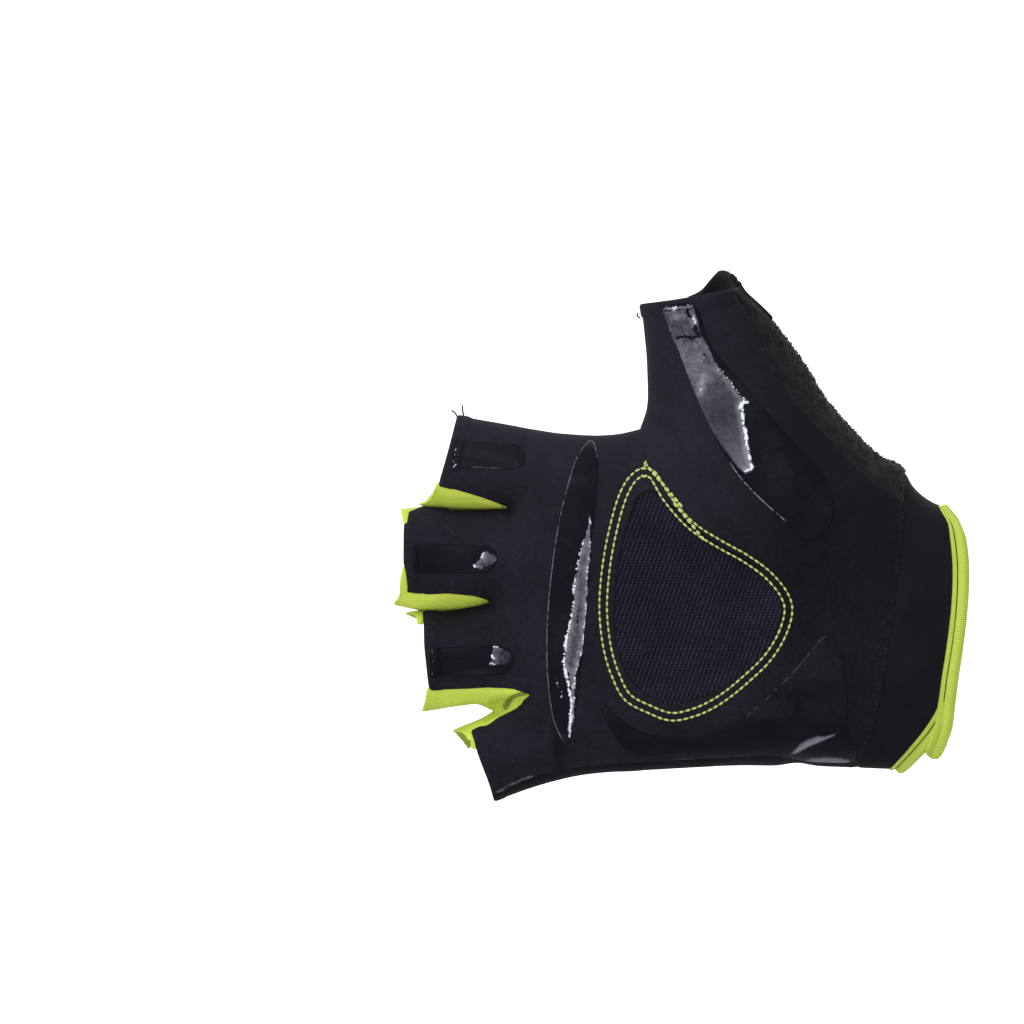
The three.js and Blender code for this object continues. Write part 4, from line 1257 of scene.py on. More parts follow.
def tree(name, inputs):
    """A Geometry Nodes tree with named inputs: {name: (socket type, default)}."""
    made = bpy.data.node_groups.get(name)
    if made:
        return made, None, None
    made = bpy.data.node_groups.new(name, "GeometryNodeTree")
    face = made.interface
    face.new_socket("Geometry", in_out="INPUT", socket_type="NodeSocketGeometry")
    for key, (kind, default) in inputs.items():
        socket = face.new_socket(key, in_out="INPUT", socket_type="NodeSocket" + kind)
        if default is not None:
            socket.default_value = default
    face.new_socket("Geometry", in_out="OUTPUT", socket_type="NodeSocketGeometry")
    g = Graph(made)
    outputs = g.node("NodeGroupInput")
    return made, g, dict(zip(["Geometry", *inputs], outputs))


def close_tree(g, geometry, finish):
    """Ends a tree: real geometry, smooth, with its material."""
    real = g.node("GeometryNodeRealizeInstances", None, {0: geometry})[0]
    shaded = g.node("GeometryNodeSetShadeSmooth", None, {0: real, 2: True})[0]
    done = g.node("GeometryNodeSetMaterial", None, {0: shaded, "Material": finish})[0]
    g.node("NodeGroupOutput", None, {0: done})


def named(g, name, kind="FLOAT_VECTOR"):
    """An attribute of the mesh that the tree runs on."""
    return g.node("GeometryNodeInputNamedAttribute", {"data_type": kind}, {"Name": name})[0]


def spaced_line(g, geometry, step):
    """A line mesh as a curve whose points lie step apart."""
    line = g.node("GeometryNodeMeshToCurve", None, {0: geometry})[0]
    return g.node("GeometryNodeResampleCurve", {"mode": "LENGTH"}, {0: line, "Length": step})[0]


def random_share(g, low, high, seed):
    """A random number from low to high for each point."""
    settings = {"data_type": "FLOAT"}
    return g.node("FunctionNodeRandomValue", settings, {2: low, 3: high, "Seed": seed})[0]


def unevenness(g, given):
    """A factor near 1 that differs from piece to piece."""
    return random_share(g, 1 - given["Unevenness"], 1 + given["Unevenness"], given["Seed"])


def facing(g, out, way):
    """A rotation whose Z is out and whose X follows way."""
    up = g.node("FunctionNodeAlignRotationToVector", {"axis": "Z"}, {"Vector": out})[0]
    settings = {"axis": "X", "pivot_axis": "Z"}
    return g.node("FunctionNodeAlignRotationToVector", settings, {"Rotation": up, "Vector": way})[0]


def lay(g, spots, shape, turn, size):
    """A copy of a shape on every point, turned and with its three measures."""
    scale = g.node("ShaderNodeCombineXYZ", None, dict(enumerate(size)))[0]
    values = {0: spots, "Instance": shape, "Rotation": turn, "Scale": scale}
    return g.node("GeometryNodeInstanceOnPoints", None, values)[0]


def grain(g, segments, rings):
    """A round grain one unit across."""
    values = {"Segments": segments, "Rings": rings, "Radius": 0.5}
    return g.node("GeometryNodeMeshUVSphere", None, values)[0]


def stitch_tree():
    """Stitches laid one after another along a seam line, half sunk into the cloth."""
    made, g, given = tree("stitches_along_seam", {
        "Pitch": ("Float", 1.45 * MM), "Length": ("Float", 1.0 * MM), "Width": ("Float", 0.42 * MM),
        "Height": ("Float", 0.34 * MM), "Unevenness": ("Float", 0.12), "Seed": ("Int", 3),
        "Thread": ("Material", None),
    })
    if g:
        spots = spaced_line(g, given["Geometry"], given["Pitch"])
        turn = facing(g, named(g, "out"), g.node("GeometryNodeInputTangent")[0])
        size = given["Length"] * unevenness(g, given), given["Width"], given["Height"]
        close_tree(g, lay(g, spots, grain(g, 8, 6), turn, size), given["Thread"])
    return made


def bump_tree():
    """Small knitted bumps, one on every point of a lattice."""
    made, g, given = tree("knit_bumps", {
        "Length": ("Float", 0.62 * MM), "Width": ("Float", 0.5 * MM), "Height": ("Float", 0.26 * MM),
        "Unevenness": ("Float", 0.16), "Seed": ("Int", 5), "Yarn": ("Material", None),
    })
    if g:
        turn = facing(g, named(g, "out"), named(g, "way"))
        uneven = unevenness(g, given)
        size = given["Length"] * uneven, given["Width"] * uneven, given["Height"]
        close_tree(g, lay(g, given["Geometry"], grain(g, 6, 4), turn, size), given["Yarn"])
    return made


LOOP_ARC = (-35, 250)  # start and sweep of a terry loop, in degrees
LOOP_LEAN = 0.45  # how far it leans aside
LOOP_HEIGHTS = (0.7, 1.15)  # least and most, as shares of the given height
LOOP_WIDTH = 0.8  # as a share of its own height


def loop_tree():
    """Terry: loops of yarn scattered over a cloth face."""
    made, g, given = tree("terry_loops", {
        "Density": ("Float", 1.1e6), "Spacing": ("Float", 0.55 * MM), "Height": ("Float", 1.0 * MM),
        "Yarn": ("Float", 0.11 * MM), "Seed": ("Int", 8), "Cloth": ("Material", None),
    })
    if g:
        spots, normal, *_ = g.node("GeometryNodeDistributePointsOnFaces",
                                   {"distribute_method": "POISSON"}, {
            "Mesh": given["Geometry"], "Distance Min": given["Spacing"],
            "Density Max": given["Density"], "Seed": given["Seed"]})
        start, sweep = (math.radians(angle) for angle in LOOP_ARC)
        arc = g.node("GeometryNodeCurveArc", {"mode": "RADIUS"}, {
            "Resolution": 6, "Radius": 0.5, "Start Angle": start, "Sweep Angle": sweep})[0]
        stood = g.node("GeometryNodeTransform", None,
                       {"Geometry": arc, "Rotation": (math.pi / 2, 0, 0)})[0]
        ring = g.node("GeometryNodeCurvePrimitiveCircle", {"mode": "RADIUS"},
                      {"Resolution": 3, "Radius": given["Yarn"] / given["Height"]})[0]
        loop = g.node("GeometryNodeCurveToMesh", None, {0: stood, 1: ring, "Fill Caps": True})[0]
        aside = g.node("FunctionNodeRandomValue", {"data_type": "FLOAT_VECTOR"}, {
            0: (-1, -1, -1), 1: (1, 1, 1), "Seed": given["Seed"]})[0]
        tilt = g.node("ShaderNodeVectorMath", {"operation": "SCALE"}, {0: aside, "Scale": LOOP_LEAN})[0]
        out = g.node("ShaderNodeVectorMath", {"operation": "ADD"}, {0: normal, 1: tilt})[0]
        turn = facing(g, out, aside)
        low, high = (given["Height"] * share for share in LOOP_HEIGHTS)
        tall = random_share(g, low, high, given["Seed"] + 1)
        size = tall * LOOP_WIDTH, tall, tall
        close_tree(g, lay(g, spots, loop, turn, size), given["Cloth"])
    return made


def rib_tree():
    """Ribbed elastic: a profile drawn along the wrist edge, its girth rising and falling with each rib."""
    made, g, given = tree("ribbed_elastic", {
        "Profile": ("Object", None), "Rib Pitch": ("Float", 0.46 * MM), "Rib Depth": ("Float", 0.05),
        "Elastic": ("Material", None),
    })
    if g:
        spots = spaced_line(g, given["Geometry"], given["Rib Pitch"] / 4)
        framed = g.node("GeometryNodeSetCurveNormal", {"mode": "FREE"},
                        {0: spots, "Normal": named(g, "out")})[0]
        far = g.node("GeometryNodeSplineParameter")[1]
        wave = (far * (2 * math.pi) / given["Rib Pitch"]).math("SINE")
        # Stored for the painted shade between the ribs.
        framed = g.node("GeometryNodeStoreNamedAttribute", {"data_type": "FLOAT", "domain": "POINT"},
                        {0: framed, "Name": "hollow", "Value": 0.5 - wave * 0.5})[0]
        shape = g.node("GeometryNodeObjectInfo", None, {0: given["Profile"]})[4]
        ring = g.node("GeometryNodeMeshToCurve", None, {0: shape})[0]
        girth = named(g, "girth", "FLOAT") * (1 + wave * given["Rib Depth"])
        drawn = g.node("GeometryNodeCurveToMesh", None,
                       {0: framed, 1: ring, "Scale": girth, "Fill Caps": True})[0]
        close_tree(g, drawn, given["Elastic"])
    return made


def grow(name, base, group, values):
    """Runs a Geometry Nodes tree on an object and returns the result as a plain mesh object."""
    modifier = base.modifiers.new(group.name, "NODES")
    modifier.node_group = group
    for item in group.interface.items_tree:
        if item.in_out == "INPUT" and item.name in values:
            modifier[item.identifier] = values[item.name]
    bpy.context.view_layer.update()
    seen = base.evaluated_get(bpy.context.evaluated_depsgraph_get())
    mesh = bpy.data.meshes.new_from_object(seen)
    base.modifiers.remove(modifier)
    bpy.data.objects.remove(base)
    mesh.name = name
    made = bpy.data.objects.new(name, mesh)
    bpy.context.scene.collection.objects.link(made)
    return made


# Fields that bound the panels


@lru_cache
def fields():
    """Distances of every point of the worn cloth from the lines of the plan."""
    cloth = worn_cloth()
    x, y, z = cloth.place.T
    made = {name: region.distance(x, z) for name, region in regions().items()
            if name not in GRIPS and name not in FINGER_GRIPS}
    to_back = ease(y, -1.5, 1.5)
    pairs = {"terry": ("terry_front", "terry_back"), "thumb_top": ("thumb_end", "thumb_back_end")}
    pairs.update({name: (name + "_front", name) for name in GUSSETS})
    for name, (front, back) in pairs.items():
        made[name] = made[front] * (1 - to_back) + made[back] * to_back
    made["front"] = np.minimum.reduce(
        [cloth.even(part) for part in (-made["side"], -made["cuff"], -made["terry"], -y)]
    )
    return made


def hem_rise(distance, width=3.0, height=0.3):
    """A folded hem stands this much over the cloth, up to its row of stitches."""
    dip = 0.1 * np.exp(-(((distance - width - 0.2) / 0.35) ** 2))
    return height * (1 - ease(distance, width, width + 0.5)) - dip


def panel(name, over, under, top, thick):
    """A panel of the worn cloth; the attributes of painted shade in sharp folds and of painted highlights
    on lines are NEAR on their lines and 0 from NEAR on.
    """
    points, faces, rows = cut_piece(worn_cloth(), over, under, top, thick)
    x, y, z = rows[:, 6:9].T
    fold_shade = np.maximum(NEAR - off_line(SHADED_FOLD_LINES.get(name, NOWHERE), x, z), 0)
    line_highlight = [NEAR - thin - off_line(line, x, z) - (y > 0) for thin, line in PAINTED_HIGHLIGHT_LINES]
    line_highlight = np.maximum(np.max(line_highlight, axis=0), 0)
    return make_object(name, points, faces, {"edge": rows[:, 10], "fold_shade": fold_shade, "line_highlight": line_highlight})


def seam_line(name, curve, lift=0.05):
    """A line mesh on the palm's face for stitches to follow."""
    points, normals = palm_points(curve[:, 0], curve[:, 1])
    edges = [(i, i + 1) for i in range(len(curve) - 1)]
    return make_object(name, points + normals * lift, [], {"out": normals}, edges)


def sew(name, line, finish, slot, **sizes):
    """A row of stitches along a line mesh."""
    values = {"Thread": finish, **sizes}
    return settle_piece(grow(name, line, stitch_tree(), values), finish)


def tube(name, line, radius, finish, sides=8):
    """A thin round thread along a line, tapered at its ends and closed."""
    way = unit(np.gradient(line, axis=0))
    aside = unit(np.cross(way, (0.3, 1.0, 0.2)))
    up = np.cross(aside, way)
    turns = np.linspace(0, 2 * math.pi, sides, endpoint=False)
    size = radius * np.sqrt(np.clip(1 - np.linspace(-1, 1, len(line)) ** 6, 0.12, 1))[:, None, None]
    ring = np.cos(turns)[None, :, None] * aside[:, None] + np.sin(turns)[None, :, None] * up[:, None]
    points = (line[:, None] + ring * size).reshape(-1, 3)
    points = np.vstack([points, line[:1], line[-1:]])
    faces, last = [], (len(line) - 1) * sides
    for i in range(len(line) - 1):
        for j in range(sides):
            a, b = i * sides + j, i * sides + (j + 1) % sides
            faces += [(a, b + sides, b), (a, a + sides, b + sides)]
    for j in range(sides):
        k = (j + 1) % sides
        faces += [(len(points) - 2, j, k), (len(points) - 1, last + k, last + j)]
    return settle_piece(make_object(name, points, faces), finish)


# Settings


def metres(name, text, value, **limits):
    """A place or a length in metres."""
    return FloatProperty(name=name, description=text, default=value, unit="LENGTH",
                         subtype="DISTANCE", precision=5, **limits)


def length(name, text, value):
    """A length given in millimetres and kept in metres."""
    return metres(name, text, value * MM, min=0)


def watts(name, text, value):
    """The power of a light."""
    return FloatProperty(name=name, description=text, default=value, min=0, unit="POWER")


def colour(name, text, value):
    """A colour given in 0 to 255."""
    return FloatVectorProperty(name=name, description=text, default=srgb(*value), size=3,
                               min=0, max=1, subtype="COLOR")


class GLOVE_PG_cloth(bpy.types.PropertyGroup):
    """Thicknesses of the cloths."""

    suede: length("Suede", "Thickness of the palm's suede", 1.3)
    stretch: length("Stretch cloth", "Thickness of the back and the cuff", 1.2)
    gusset: length("Gusset cloth", "Thickness of the neon gussets", 0.7)
    mesh: length("Mesh", "Thickness of the mesh inset", 0.6)
    mesh_drop: length("Mesh drop", "How far the mesh lies below the suede", 0.55)
    terry: length("Terry ground", "Thickness of the terry's ground cloth", 1.5)
    print_height: length("Print height", "Height of the silicone over the suede", 0.3)


class GLOVE_PG_trim(bpy.types.PropertyGroup):
    """Sizes of stitches, terry and elastic."""

    stitch_pitch: length("Stitch pitch", "Distance from stitch to stitch", 1.5)
    stitch_length: length("Stitch length", "Visible length of a stitch", 1.34)
    stitch_width: length("Stitch width", "Width of the thread", 0.54)
    row_gap: length("Row gap", "Distance between the two rows round the mesh", 1.75)
    rib_pitch: length("Rib pitch", "Distance between the elastic's ribs", 0.46)
    rib_depth: FloatProperty(name="Rib depth", description="How deep the ribs are, as a share of the girth",
                             default=0.07, min=0, max=0.2, subtype="FACTOR")
    loop_height: length("Loop height", "Height of a terry loop", 0.7)
    loop_spacing: length("Loop spacing", "Least distance between terry loops", 0.48)
    loop_seed: IntProperty(name="Loop seed", description="Order of the terry loops", default=8)
    bump_across: length("Mesh cell width", "Distance between the mesh's columns", 0.97)
    bump_along: length("Mesh cell length", "Distance between the bumps in a column", 0.7)


class GLOVE_PG_finish(bpy.types.PropertyGroup):
    """Colours of the cloths and prints."""

    suede_dark: colour("Suede, dark", "Suede in the hollows of its nap", (16, 16, 21))
    suede_light: colour("Suede, light", "Suede on the crests of its nap", (36, 36, 43))
    stretch_dark: colour("Stretch cloth, dark", "Stretch cloth between its wales", (15, 15, 19))
    stretch_light: colour("Stretch cloth, light", "Stretch cloth on its wales", (24, 24, 29))
    neon_dark: colour("Neon, dark", "Gussets between their wales", (172, 190, 58))
    neon_light: colour("Neon, light", "Gussets on their wales", (211, 226, 88))
    # The dark edging colour is also the painted shade between the ribs.
    edging_dark: colour("Edging, dark", "Elastic between its ribs", (143, 162, 47))
    edging_light: colour("Edging, light", "Elastic on its ribs", (205, 220, 86))
    terry_dark: colour("Terry, dark", "Terry in its depth", (18, 17, 19))
    terry_light: colour("Terry, light", "Terry on its loops", (41, 40, 44))
    silicone_dark: colour("Silicone, dark", "Glossy film", (11, 11, 16))
    silicone_light: colour("Silicone, light", "Glossy film where it is thin", (20, 20, 27))


class GLOVE_PG_stage(bpy.types.PropertyGroup):
    """Camera, floor and light."""

    camera_distance: metres("Camera distance", "From the glove to the camera", 5.0)
    view_width: metres("View width", "Width that the picture shows at the glove", 0.2355)
    view_x: metres("View centre X", "X of the picture's centre", -0.10074)
    view_z: metres("View centre Z", "Z of the picture's centre", 0.02875)
    floor_drop: length("Floor drop", "From the glove's lowest point to the floor", 150.0)
    floor_colour: colour("Floor", "Colour of floor and backdrop", (246, 246, 246))
    soft_light: FloatProperty(name="Soft light", description="Strength of the light from all round",
                              default=0.7, min=0)
    key_light: watts("Key light", "Power of the large soft light", 21)
    front_light: watts("Front light", "Power of the light near the camera", 8)
    low_light: watts("Low light", "Power of the light from below", 6)


# Operators


class GLOVE_OT_palm(bpy.types.Operator):
    """Suede palm panel with its finger tabs and the front of the thumb"""

    bl_idname = "glove.palm"
    bl_label = "Palm panel"

    def execute(self, context):
        f, sizes = fields(), context.scene.glove_cloth
        hems = [f["tabs"], -f["thumb_top"]]
        rise = hem_rise(np.minimum(*hems))
        lines = [f["front"], *hems, -f["window"], *(-f[name] for name in GUSSETS)]
        made = panel("palm_panel", lines, [], rise, sizes.suede / MM)
        settle_piece(made, suede(), ["palm_panel"])
        return {"FINISHED"}


class GLOVE_OT_back(bpy.types.Operator):
    """Stretch cloth over the back of the hand, the fingers and the thumb"""

    bl_idname = "glove.back"
    bl_label = "Back panel"

    def execute(self, context):
        f, sizes = fields(), context.scene.glove_cloth
        hems = [f["tabs"], -f["thumb_top"]]
        rise = hem_rise(np.minimum(*hems), 2.6, 0.2)
        over = [*hems, *(-f[name] for name in GUSSETS)]
        under = [(-f[name], 1) for name in ("front", "cuff", "terry")]
        made = panel("back_panel", over, under, rise, sizes.stretch / MM)
        settle_piece(made, stretch(), ["back_panel"])
        return {"FINISHED"}


class GLOVE_OT_gussets(bpy.types.Operator):
    """Neon gussets that line the slits between the fingers"""

    bl_idname = "glove.gussets"
    bl_label = "Finger gussets"

    def execute(self, context):
        f, sizes = fields(), context.scene.glove_cloth
        for name in GUSSETS:
            top = 0.3 * (1 - ease(f["glove"], 0.3, 2.2))
            made = panel(name, [], [(f[name], ease(f["tabs"], -1, 0.5))], top, sizes.gusset / MM)
            settle_piece(made, neon(), [name])
        return {"FINISHED"}


class GLOVE_OT_terry(bpy.types.Operator):
    """Terry wipe over the outer side of the thumb, with its loops and the small pull tab"""

    bl_idname = "glove.terry"
    bl_label = "Terry wipe"

    def execute(self, context):
        f, sizes, trim = fields(), context.scene.glove_cloth, context.scene.glove_trim
        cloth = worn_cloth()
        under = [(f["terry"], ease(-cloth.place[:, 1], -1, 1)), (-f["cuff"], 1)]
        made = panel("thumb_terry_wipe", [-f["thumb_top"]], under, 0.1, sizes.terry / MM)
        settle_piece(made, terry(), ["thumb_terry_wipe"])

        bounds = [cloth.even(part) for part in (f["terry"], -f["cuff"], -f["thumb_top"])]
        rows, triangles = biggest(*clip(np.column_stack([cloth.points, cloth.normals]),
                                        cloth.triangles, np.minimum.reduce(bounds) - 0.4))
        ground = make_object("terry_ground", rows[:, :3] + 0.05 * unit(rows[:, 3:6]), triangles)
        pile = grow("thumb_terry_pile", ground, loop_tree(), {
            "Height": trim.loop_height, "Spacing": trim.loop_spacing, "Seed": trim.loop_seed,
            "Cloth": terry()})
        settle_piece(pile, terry())

        _, y, z = cloth.place.T
        flap = [f["pull_tab"], y + 1.5, 7.5 - y]
        stand = 0.5 + 0.3 * ease(-z, -80, -73)
        made = panel("thumb_pull_tab", flap, [], stand, 1.4)
        settle_piece(made, terry(), ["thumb_pull_tab"])
        return {"FINISHED"}


class GLOVE_OT_cuff(bpy.types.Operator):
    """Stretch band round the wrist"""

    bl_idname = "glove.cuff"
    bl_label = "Wrist cuff"

    def execute(self, context):
        f, sizes = fields(), context.scene.glove_cloth
        under = [(f["cuff"], ease(-worn_cloth().place[:, 1], -1, 1))]
        made = panel("wrist_cuff", [-f["wrist"]], under, 0.0, sizes.stretch / MM)
        settle_piece(made, stretch(), ["wrist_cuff"])
        return {"FINISHED"}


def wrist_run():
    """The binding's line with its normals: round the wrist from under the overlap at the heel, over
    the back, down the palm and past its start."""
    cloth, field = worn_cloth(), fields()["binding"]
    edges = np.vstack([cloth.triangles[:, [0, 1]], cloth.triangles[:, [1, 2]], cloth.triangles[:, [2, 0]]])
    edges = edges[(edges[:, 0] < edges[:, 1]) & ((field[edges[:, 0]] > 0) != (field[edges[:, 1]] > 0))]
    a, b = edges.T
    t = (field[a] / (field[a] - field[b]))[:, None]
    rows = np.column_stack([cloth.points, cloth.normals])
    rows = rows[a] * (1 - t) + rows[b] * t
    rows = rows[np.argsort(np.arctan2(rows[:, 1], rows[:, 2]))]
    start = np.argmin(np.where(rows[:, 1] < 0, np.abs(rows[:, 2] - BINDING_START), 99))
    rows = np.roll(rows, -start, axis=0)
    if rows[len(rows) // 20, 2] > rows[0, 2]:
        rows = np.roll(rows[::-1], 1, axis=0)
    rows = spaced(rows, 1.0)
    again = rows[: np.argmax(rows[:, 2] < BINDING_OVERLAP)]
    points, normals = palm_points(*np.array(BINDING_END).T)
    return spaced(np.vstack([rows, again, np.column_stack([points, normals])]), BINDING_STEP)


def elastic_profile(sides=24):
    """Section of the elastic: the outline of its two lobes."""
    up, over = ELASTIC_MIDDLE
    points = []
    for angle in np.linspace(0, 2 * math.pi, sides, endpoint=False):
        reach = 0
        for lobe_up, lobe_over, tall, wide in ELASTIC_LOBES:
            way_up, way_over = math.cos(angle) / tall, math.sin(angle) / wide
            off_up, off_over = (up - lobe_up) / tall, (over - lobe_over) / wide
            p, q = way_up**2 + way_over**2, off_up * way_up + off_over * way_over
            inner = q**2 - p * (off_up**2 + off_over**2 - 1)
            if inner > 0:
                reach = max(reach, (math.sqrt(inner) - q) / p)
        points.append((up + reach * math.cos(angle), over + reach * math.sin(angle), 0))
    return make_object("elastic_profile", points, [], None, [(i, (i + 1) % sides) for i in range(sides)])


class GLOVE_OT_binding(bpy.types.Operator):
    """Ribbed neon elastic that edges the wrist opening and overlaps itself at the heel"""

    bl_idname = "glove.binding"
    bl_label = "Wrist binding"

    def execute(self, context):
        trim = context.scene.glove_trim
        run = wrist_run()
        steps = len(run) - 1
        far = np.arange(len(run)) / steps
        gone, left = far * len(run) * BINDING_STEP, (1 - far) * steps * BINDING_STEP
        out = unit(run[:, 3:])
        # its end lies over its start
        lift = 1.5 * (1 - ease(left, 9, 15)) - 0.9 * (1 - ease(gone, 4, 12))
        line = run[:, :3] + out * lift[:, None]
        for _ in range(3):
            line[1:-1] = (line[:-2] + 2 * line[1:-1] + line[2:]) / 4
        # it is rounded off at its end and pulled thin over the top of the wrist
        girth = np.sqrt(np.clip(1 - (1 - np.clip(left / 1.6, 0, 1)) ** 2, 0.06, 1))
        girth *= 0.95 - 0.35 * ease(line[:, 2], 22, 29) * ease(-line[:, 1], -8, 6)
        line_object = make_object("wrist_line", line, [], {"out": out, "girth": girth},
                                  [(i, i + 1) for i in range(steps)])
        profile = elastic_profile()
        made = grow("wrist_binding", line_object, rib_tree(), {
            "Profile": profile, "Rib Pitch": trim.rib_pitch, "Rib Depth": trim.rib_depth,
            "Elastic": edging()})
        bpy.data.objects.remove(profile)
        settle_piece(made, edging(), ["wrist_binding"])
        return {"FINISHED"}


def mesh_height(x, z, drop):
    """Height of the mesh over the palm's face at places of the plan: sunk by drop, with soft folds."""
    return -drop + 0.25 * noise(np.column_stack([x, 0 * x, z]), 6.0)


class GLOVE_OT_mesh(bpy.types.Operator):
    """Mesh inset with its knitted bumps, sunk into the palm's window"""

    bl_idname = "glove.mesh"
    bl_label = "Mesh inset"

    def execute(self, context):
        sizes, trim = context.scene.glove_cloth, context.scene.glove_trim
        window = regions()["window"]
        cloth = palm_sheet(window, 1.5, 0.45)
        x, _, z = cloth.place.T
        inside = window.distance(x, z)
        height = mesh_height(x, z, sizes.mesh_drop / MM)
        points, faces, rows = cut_piece(cloth, [inside + 1.0], (), height, sizes.mesh / MM, 0.45, 3)
        made = make_object("palm_mesh_inset", points, faces, {"edge": rows[:, 10]})
        settle_piece(made, mesh_ground(), ["palm_mesh_inset"])

        across, down = trim.bump_across / MM, trim.bump_along / MM
        way = np.array([math.sin(MESH_LEAN), math.cos(MESH_LEAN)])
        aside = np.array([way[1], -way[0]])
        cells = np.arange(-MESH_CELLS, MESH_CELLS + 1)
        i, j = (v.ravel() for v in np.meshgrid(cells, cells, indexing="ij"))
        j = j + 0.5 * (i % 2)
        x, z = (np.array(MESH_MIDDLE) + i[:, None] * across * aside + j[:, None] * down * way).T
        inside = window.distance(x, z) > 0.1
        x, z = x[inside], z[inside]
        points, normals = palm_points(x, z)
        height = mesh_height(x, z, sizes.mesh_drop / MM)
        ways = np.tile([way[0], 0, way[1]], (len(x), 1))
        base = make_object("mesh_lattice", points + normals * height[:, None], [],
                           {"out": normals, "way": ways})
        made = grow("palm_mesh_bumps", base, bump_tree(), {"Yarn": mesh_yarn()})
        settle_piece(made, mesh_yarn())
        return {"FINISHED"}


class GLOVE_OT_grips(bpy.types.Operator):
    """Glossy silicone prints on palm, thumb, heel and finger tabs"""

    bl_idname = "glove.grips"
    bl_label = "Silicone grips"

    def execute(self, context):
        height = context.scene.glove_cloth.print_height / MM
        # pale sets the painted reflection's paleness, light the strength of the painted highlight on the
        # rim.
        for name, (pale, soft, below, light, patches) in PAINTED_REFLECTIONS.items():
            region = regions()[name]
            cloth = palm_sheet(region, 0.6, FINE)
            x, _, z = cloth.place.T
            inside = region.distance(x, z)
            raised = height * (0.6 if name == "grip_heel" else 1)
            ripple = 0.05 * noise(cloth.place, 1.9) + 0.03 * noise(cloth.place + 9, 0.8)
            hem = np.minimum(regions()["tabs"].distance(x, z), -regions()["thumb_end"].distance(x, z))
            top = hem_rise(hem) + ripple * ease(inside, 0.5, 1.2)
            top += raised * (0.9 + 0.2 * ease(inside, 0.2, 1.8))
            points, faces, rows = cut_piece(cloth, [inside], (), top, height + 0.1, FINE)
            x, z = rows[:, 6], rows[:, 8]
            reflection_patch = np.max([Region(patch).distance(x, z) for patch in patches], axis=0)
            for wide, line in CRACKS.get(name, []):
                reflection_patch = np.minimum(reflection_patch, off_line(line, x, z) - wide)
            glint = np.max([wide - off_line(line, x, z) for wide, line in GLINTS[name]], axis=0)
            rim = ease(-off_line(BRIGHT_RIMS.get(name, NOWHERE), x, z), -1.6, -0.8)
            made = make_object(name, points, faces, {
                "reflection_patch": reflection_patch, "glint": glint, "rim": rim * light, "edge": rows[:, 10],
                "pale": np.full(len(x), pale) + rises(REFLECTION_BRIGHTNESS.get(name, []), x, z),
                "soft": soft * ease(below - z, -2, 2),
                "blur": np.full(len(x), float(name == "grip_heel"))})
            settle_piece(made, silicone(), [name])
        return {"FINISHED"}


class GLOVE_OT_stitches(bpy.types.Operator):
    """Neon double row round the mesh, with doubled stitches over a part of it"""

    bl_idname = "glove.stitches"
    bl_label = "Stitches"

    def execute(self, context):
        trim = context.scene.glove_trim
        sizes = {"Pitch": trim.stitch_pitch, "Length": trim.stitch_length, "Width": trim.stitch_width}
        gap = trim.row_gap / MM
        outer = smooth(STITCH_LOOP, 0.6, True)
        outer = np.vstack([outer, outer[:1]])
        way = unit(np.gradient(outer, axis=0))
        aside = gap * np.column_stack([way[:, 1], -way[:, 0]])
        region = Region(outer)
        inward = 1 if region.distance(*(outer + aside)[40]) >= 0 else -1
        inner = outer + inward * aside
        keep = region.distance(inner[:, 0], inner[:, 1]) > gap * 0.93
        rows = {"mesh_stitches_outer": outer, "mesh_stitches_inner": inner[keep]}
        for name, line in rows.items():
            sew(name, seam_line(name + "_line", line), neon_thread(), "gusset", **sizes)
            points, normals = palm_points(line[:, 0], line[:, 1])
            # The thread under the row is darker: painted shade.
            tube(name + "_under", points - 0.02 * normals, 0.2, shaded_under_thread())
        for i, (ax, az, bx, bz) in enumerate(BACK_TACKS):
            line = smooth([(ax, az), ((ax + bx) / 2 + 0.2, (az + bz) / 2 - 0.2), (bx, bz)], 0.6)
            sew(f"mesh_back_tack_{i}", seam_line(f"tack_{i}", line, 0.16), neon_thread(), "gusset",
                **{**sizes, "Width": trim.stitch_width * 1.4})
        return {"FINISHED"}


class GLOVE_OT_loose_ends(bpy.types.Operator):
    """Loose ends of thread at the hems and at the start of the neon rows"""

    bl_idname = "glove.loose_ends"
    bl_label = "Loose ends"

    def execute(self, context):
        for name, points in LOOSE_ENDS.items():
            line = smooth(points, 0.3)
            line[:, 1] += lean(line[:, 0], line[:, 2])
            tube(name, line, 0.2, black_thread())
        line = smooth(THREAD_TAIL, 0.2)
        points, normals = palm_points(line[:, 0], line[:, 1])
        lift = np.linspace(0.1, 0.9, len(line))[:, None]
        tube("neon_thread_tail", points + normals * lift, 0.16, neon_thread())
        return {"FINISHED"}


SWEEP = {"bend": 1.2, "back": 6.5, "side": 8.0, "top": 9.0}  # reach of floor and backdrop, in metres
AIM = Vector((-0.06, 0, 0.02))  # where the lights point
LIGHTS = (  # name, place and size in metres, the setting that gives its power, and a share of that
    ("key_softbox", (-1.2, -0.8, 1.7), 0.8, "key_light", 1.0),
    ("front_softbox", (0.0, -1.9, 0.6), 0.9, "front_light", 1.0),
    ("low_softbox", (-0.4, -1.5, -1.0), 0.9, "low_light", 1.0),
    ("back_softbox", (0.4, 1.6, 1.6), 1.2, "key_light", 0.3),
)


def studio_paper(stage):
    """Pale matte paper."""
    made, g = material("studio_paper")
    if g:
        *_, at = g.place()
        pale = tuple(stage.floor_colour)
        g.surface(
            base_color=g.mix(g.noise(at, 4, 2), tuple(v * 0.98 for v in pale), pale),
            roughness=0.9,
            emission_color=(1.0, 1.0, 1.0),
            emission_strength=0.72,
        )
    return made


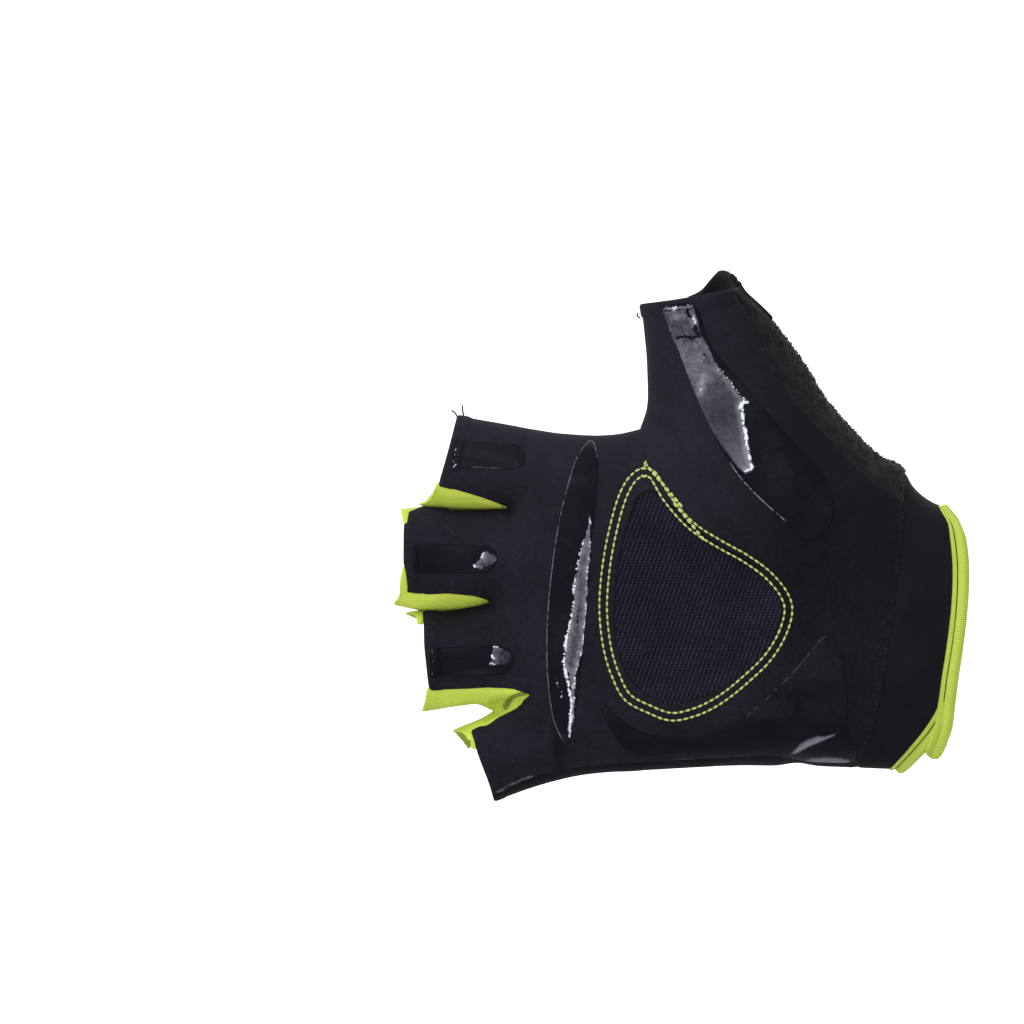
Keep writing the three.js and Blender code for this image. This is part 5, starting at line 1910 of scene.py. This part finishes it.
def studio_sweep(stage):
    """Floor that bends up into the backdrop."""
    floor = CAD_BOX[0].z - stage.floor_drop
    bend, back = SWEEP["bend"], SWEEP["back"]
    line = [(0.5, floor), (back - bend, floor)]
    for angle in np.linspace(0, math.pi / 2, 17)[1:]:
        line.append((back - bend + bend * math.sin(angle), floor + bend - bend * math.cos(angle)))
    line.append((back, SWEEP["top"]))
    points = [(x / MM, y / MM, z / MM) for y, z in line for x in (-SWEEP["side"], SWEEP["side"])]
    faces = [(2 * i, 2 * i + 1, 2 * i + 3, 2 * i + 2) for i in range(len(line) - 1)]
    made = make_object("studio_sweep", points, faces)
    made.data.materials.append(studio_paper(stage))
    return made


def studio_world(stage):
    """Soft light from all round, seen as white by the camera."""
    made = bpy.data.worlds.new("studio")
    made.use_nodes = True
    g = Graph(made.node_tree)
    seen = g.node("ShaderNodeLightPath")[0]
    around = g.node("ShaderNodeBackground", None, {0: (0.9, 0.93, 1.0, 1), 1: stage.soft_light})[0]
    plain = g.node("ShaderNodeBackground", None, {0: (1, 1, 1, 1), 1: 1.0})[0]
    both = g.node("ShaderNodeMixShader", None, {0: seen, 1: around, 2: plain})[0]
    g.node("ShaderNodeOutputWorld", None, {0: both})
    return made


def studio_lights(stage):
    """Large soft lights."""
    for name, spot, size, power, share in LIGHTS:
        lamp = bpy.data.lights.new(name, "AREA")
        lamp.shape, lamp.size, lamp.energy = "SQUARE", size, getattr(stage, power) * share
        thing = bpy.data.objects.new(name, lamp)
        thing.location = spot
        thing.rotation_euler = (AIM - Vector(spot)).to_track_quat("-Z", "Y").to_euler()
        bpy.context.scene.collection.objects.link(thing)


def studio_camera(stage):
    """A camera that looks along +Y."""
    camera = bpy.data.cameras.new("camera")
    camera.sensor_width = 36
    camera.lens = camera.sensor_width * stage.camera_distance / stage.view_width
    camera.clip_end = 50
    thing = bpy.data.objects.new("camera", camera)
    thing.location = (stage.view_x, -stage.camera_distance, stage.view_z)
    thing.rotation_euler = (math.pi / 2, 0, 0)
    bpy.context.scene.collection.objects.link(thing)
    return thing


class GLOVE_OT_stage(bpy.types.Operator):
    """Pale floor with a backdrop, soft studio lights and the camera"""

    bl_idname = "glove.stage"
    bl_label = "Stage"

    def execute(self, context):
        scene, stage = context.scene, context.scene.glove_stage
        studio_sweep(stage)
        scene.world = studio_world(stage)
        studio_lights(stage)
        scene.camera = studio_camera(stage)
        scene.view_settings.view_transform = "Standard"
        return {"FINISHED"}


class GLOVE_PT_parts(bpy.types.Panel):
    """The glove's pieces in the order in which they are made"""

    bl_idname = "GLOVE_PT_parts"
    bl_label = "Weightlifting glove"
    bl_space_type = "VIEW_3D"
    bl_region_type = "UI"
    bl_category = "Glove"

    def draw(self, context):
        for group in ("glove_cloth", "glove_trim", "glove_finish", "glove_stage"):
            settings = getattr(context.scene, group)
            box = self.layout.box()
            for key in settings.bl_rna.properties.keys():
                if key not in ("rna_type", "name"):
                    box.prop(settings, key)
        for step in STEPS:
            self.layout.operator(step.bl_idname)


SETTINGS = {
    "glove_cloth": GLOVE_PG_cloth,
    "glove_trim": GLOVE_PG_trim,
    "glove_finish": GLOVE_PG_finish,
    "glove_stage": GLOVE_PG_stage,
}
STEPS = (
    GLOVE_OT_palm,
    GLOVE_OT_back,
    GLOVE_OT_gussets,
    GLOVE_OT_terry,
    GLOVE_OT_cuff,
    GLOVE_OT_binding,
    GLOVE_OT_mesh,
    GLOVE_OT_grips,
    GLOVE_OT_stitches,
    GLOVE_OT_loose_ends,
    GLOVE_OT_stage,
)


def register():
    for kind in (*SETTINGS.values(), *STEPS, GLOVE_PT_parts):
        bpy.utils.register_class(kind)
    for name, kind in SETTINGS.items():
        setattr(bpy.types.Scene, name, PointerProperty(type=kind))


def unregister():
    for name in SETTINGS:
        delattr(bpy.types.Scene, name)
    for kind in (GLOVE_PT_parts, *reversed(STEPS), *reversed(SETTINGS.values())):
        bpy.utils.unregister_class(kind)


def main():
    register()
    for step in STEPS:
        group, name = step.bl_idname.split(".")
        getattr(getattr(bpy.ops, group), name)()


if __name__ == "__main__":
    main()
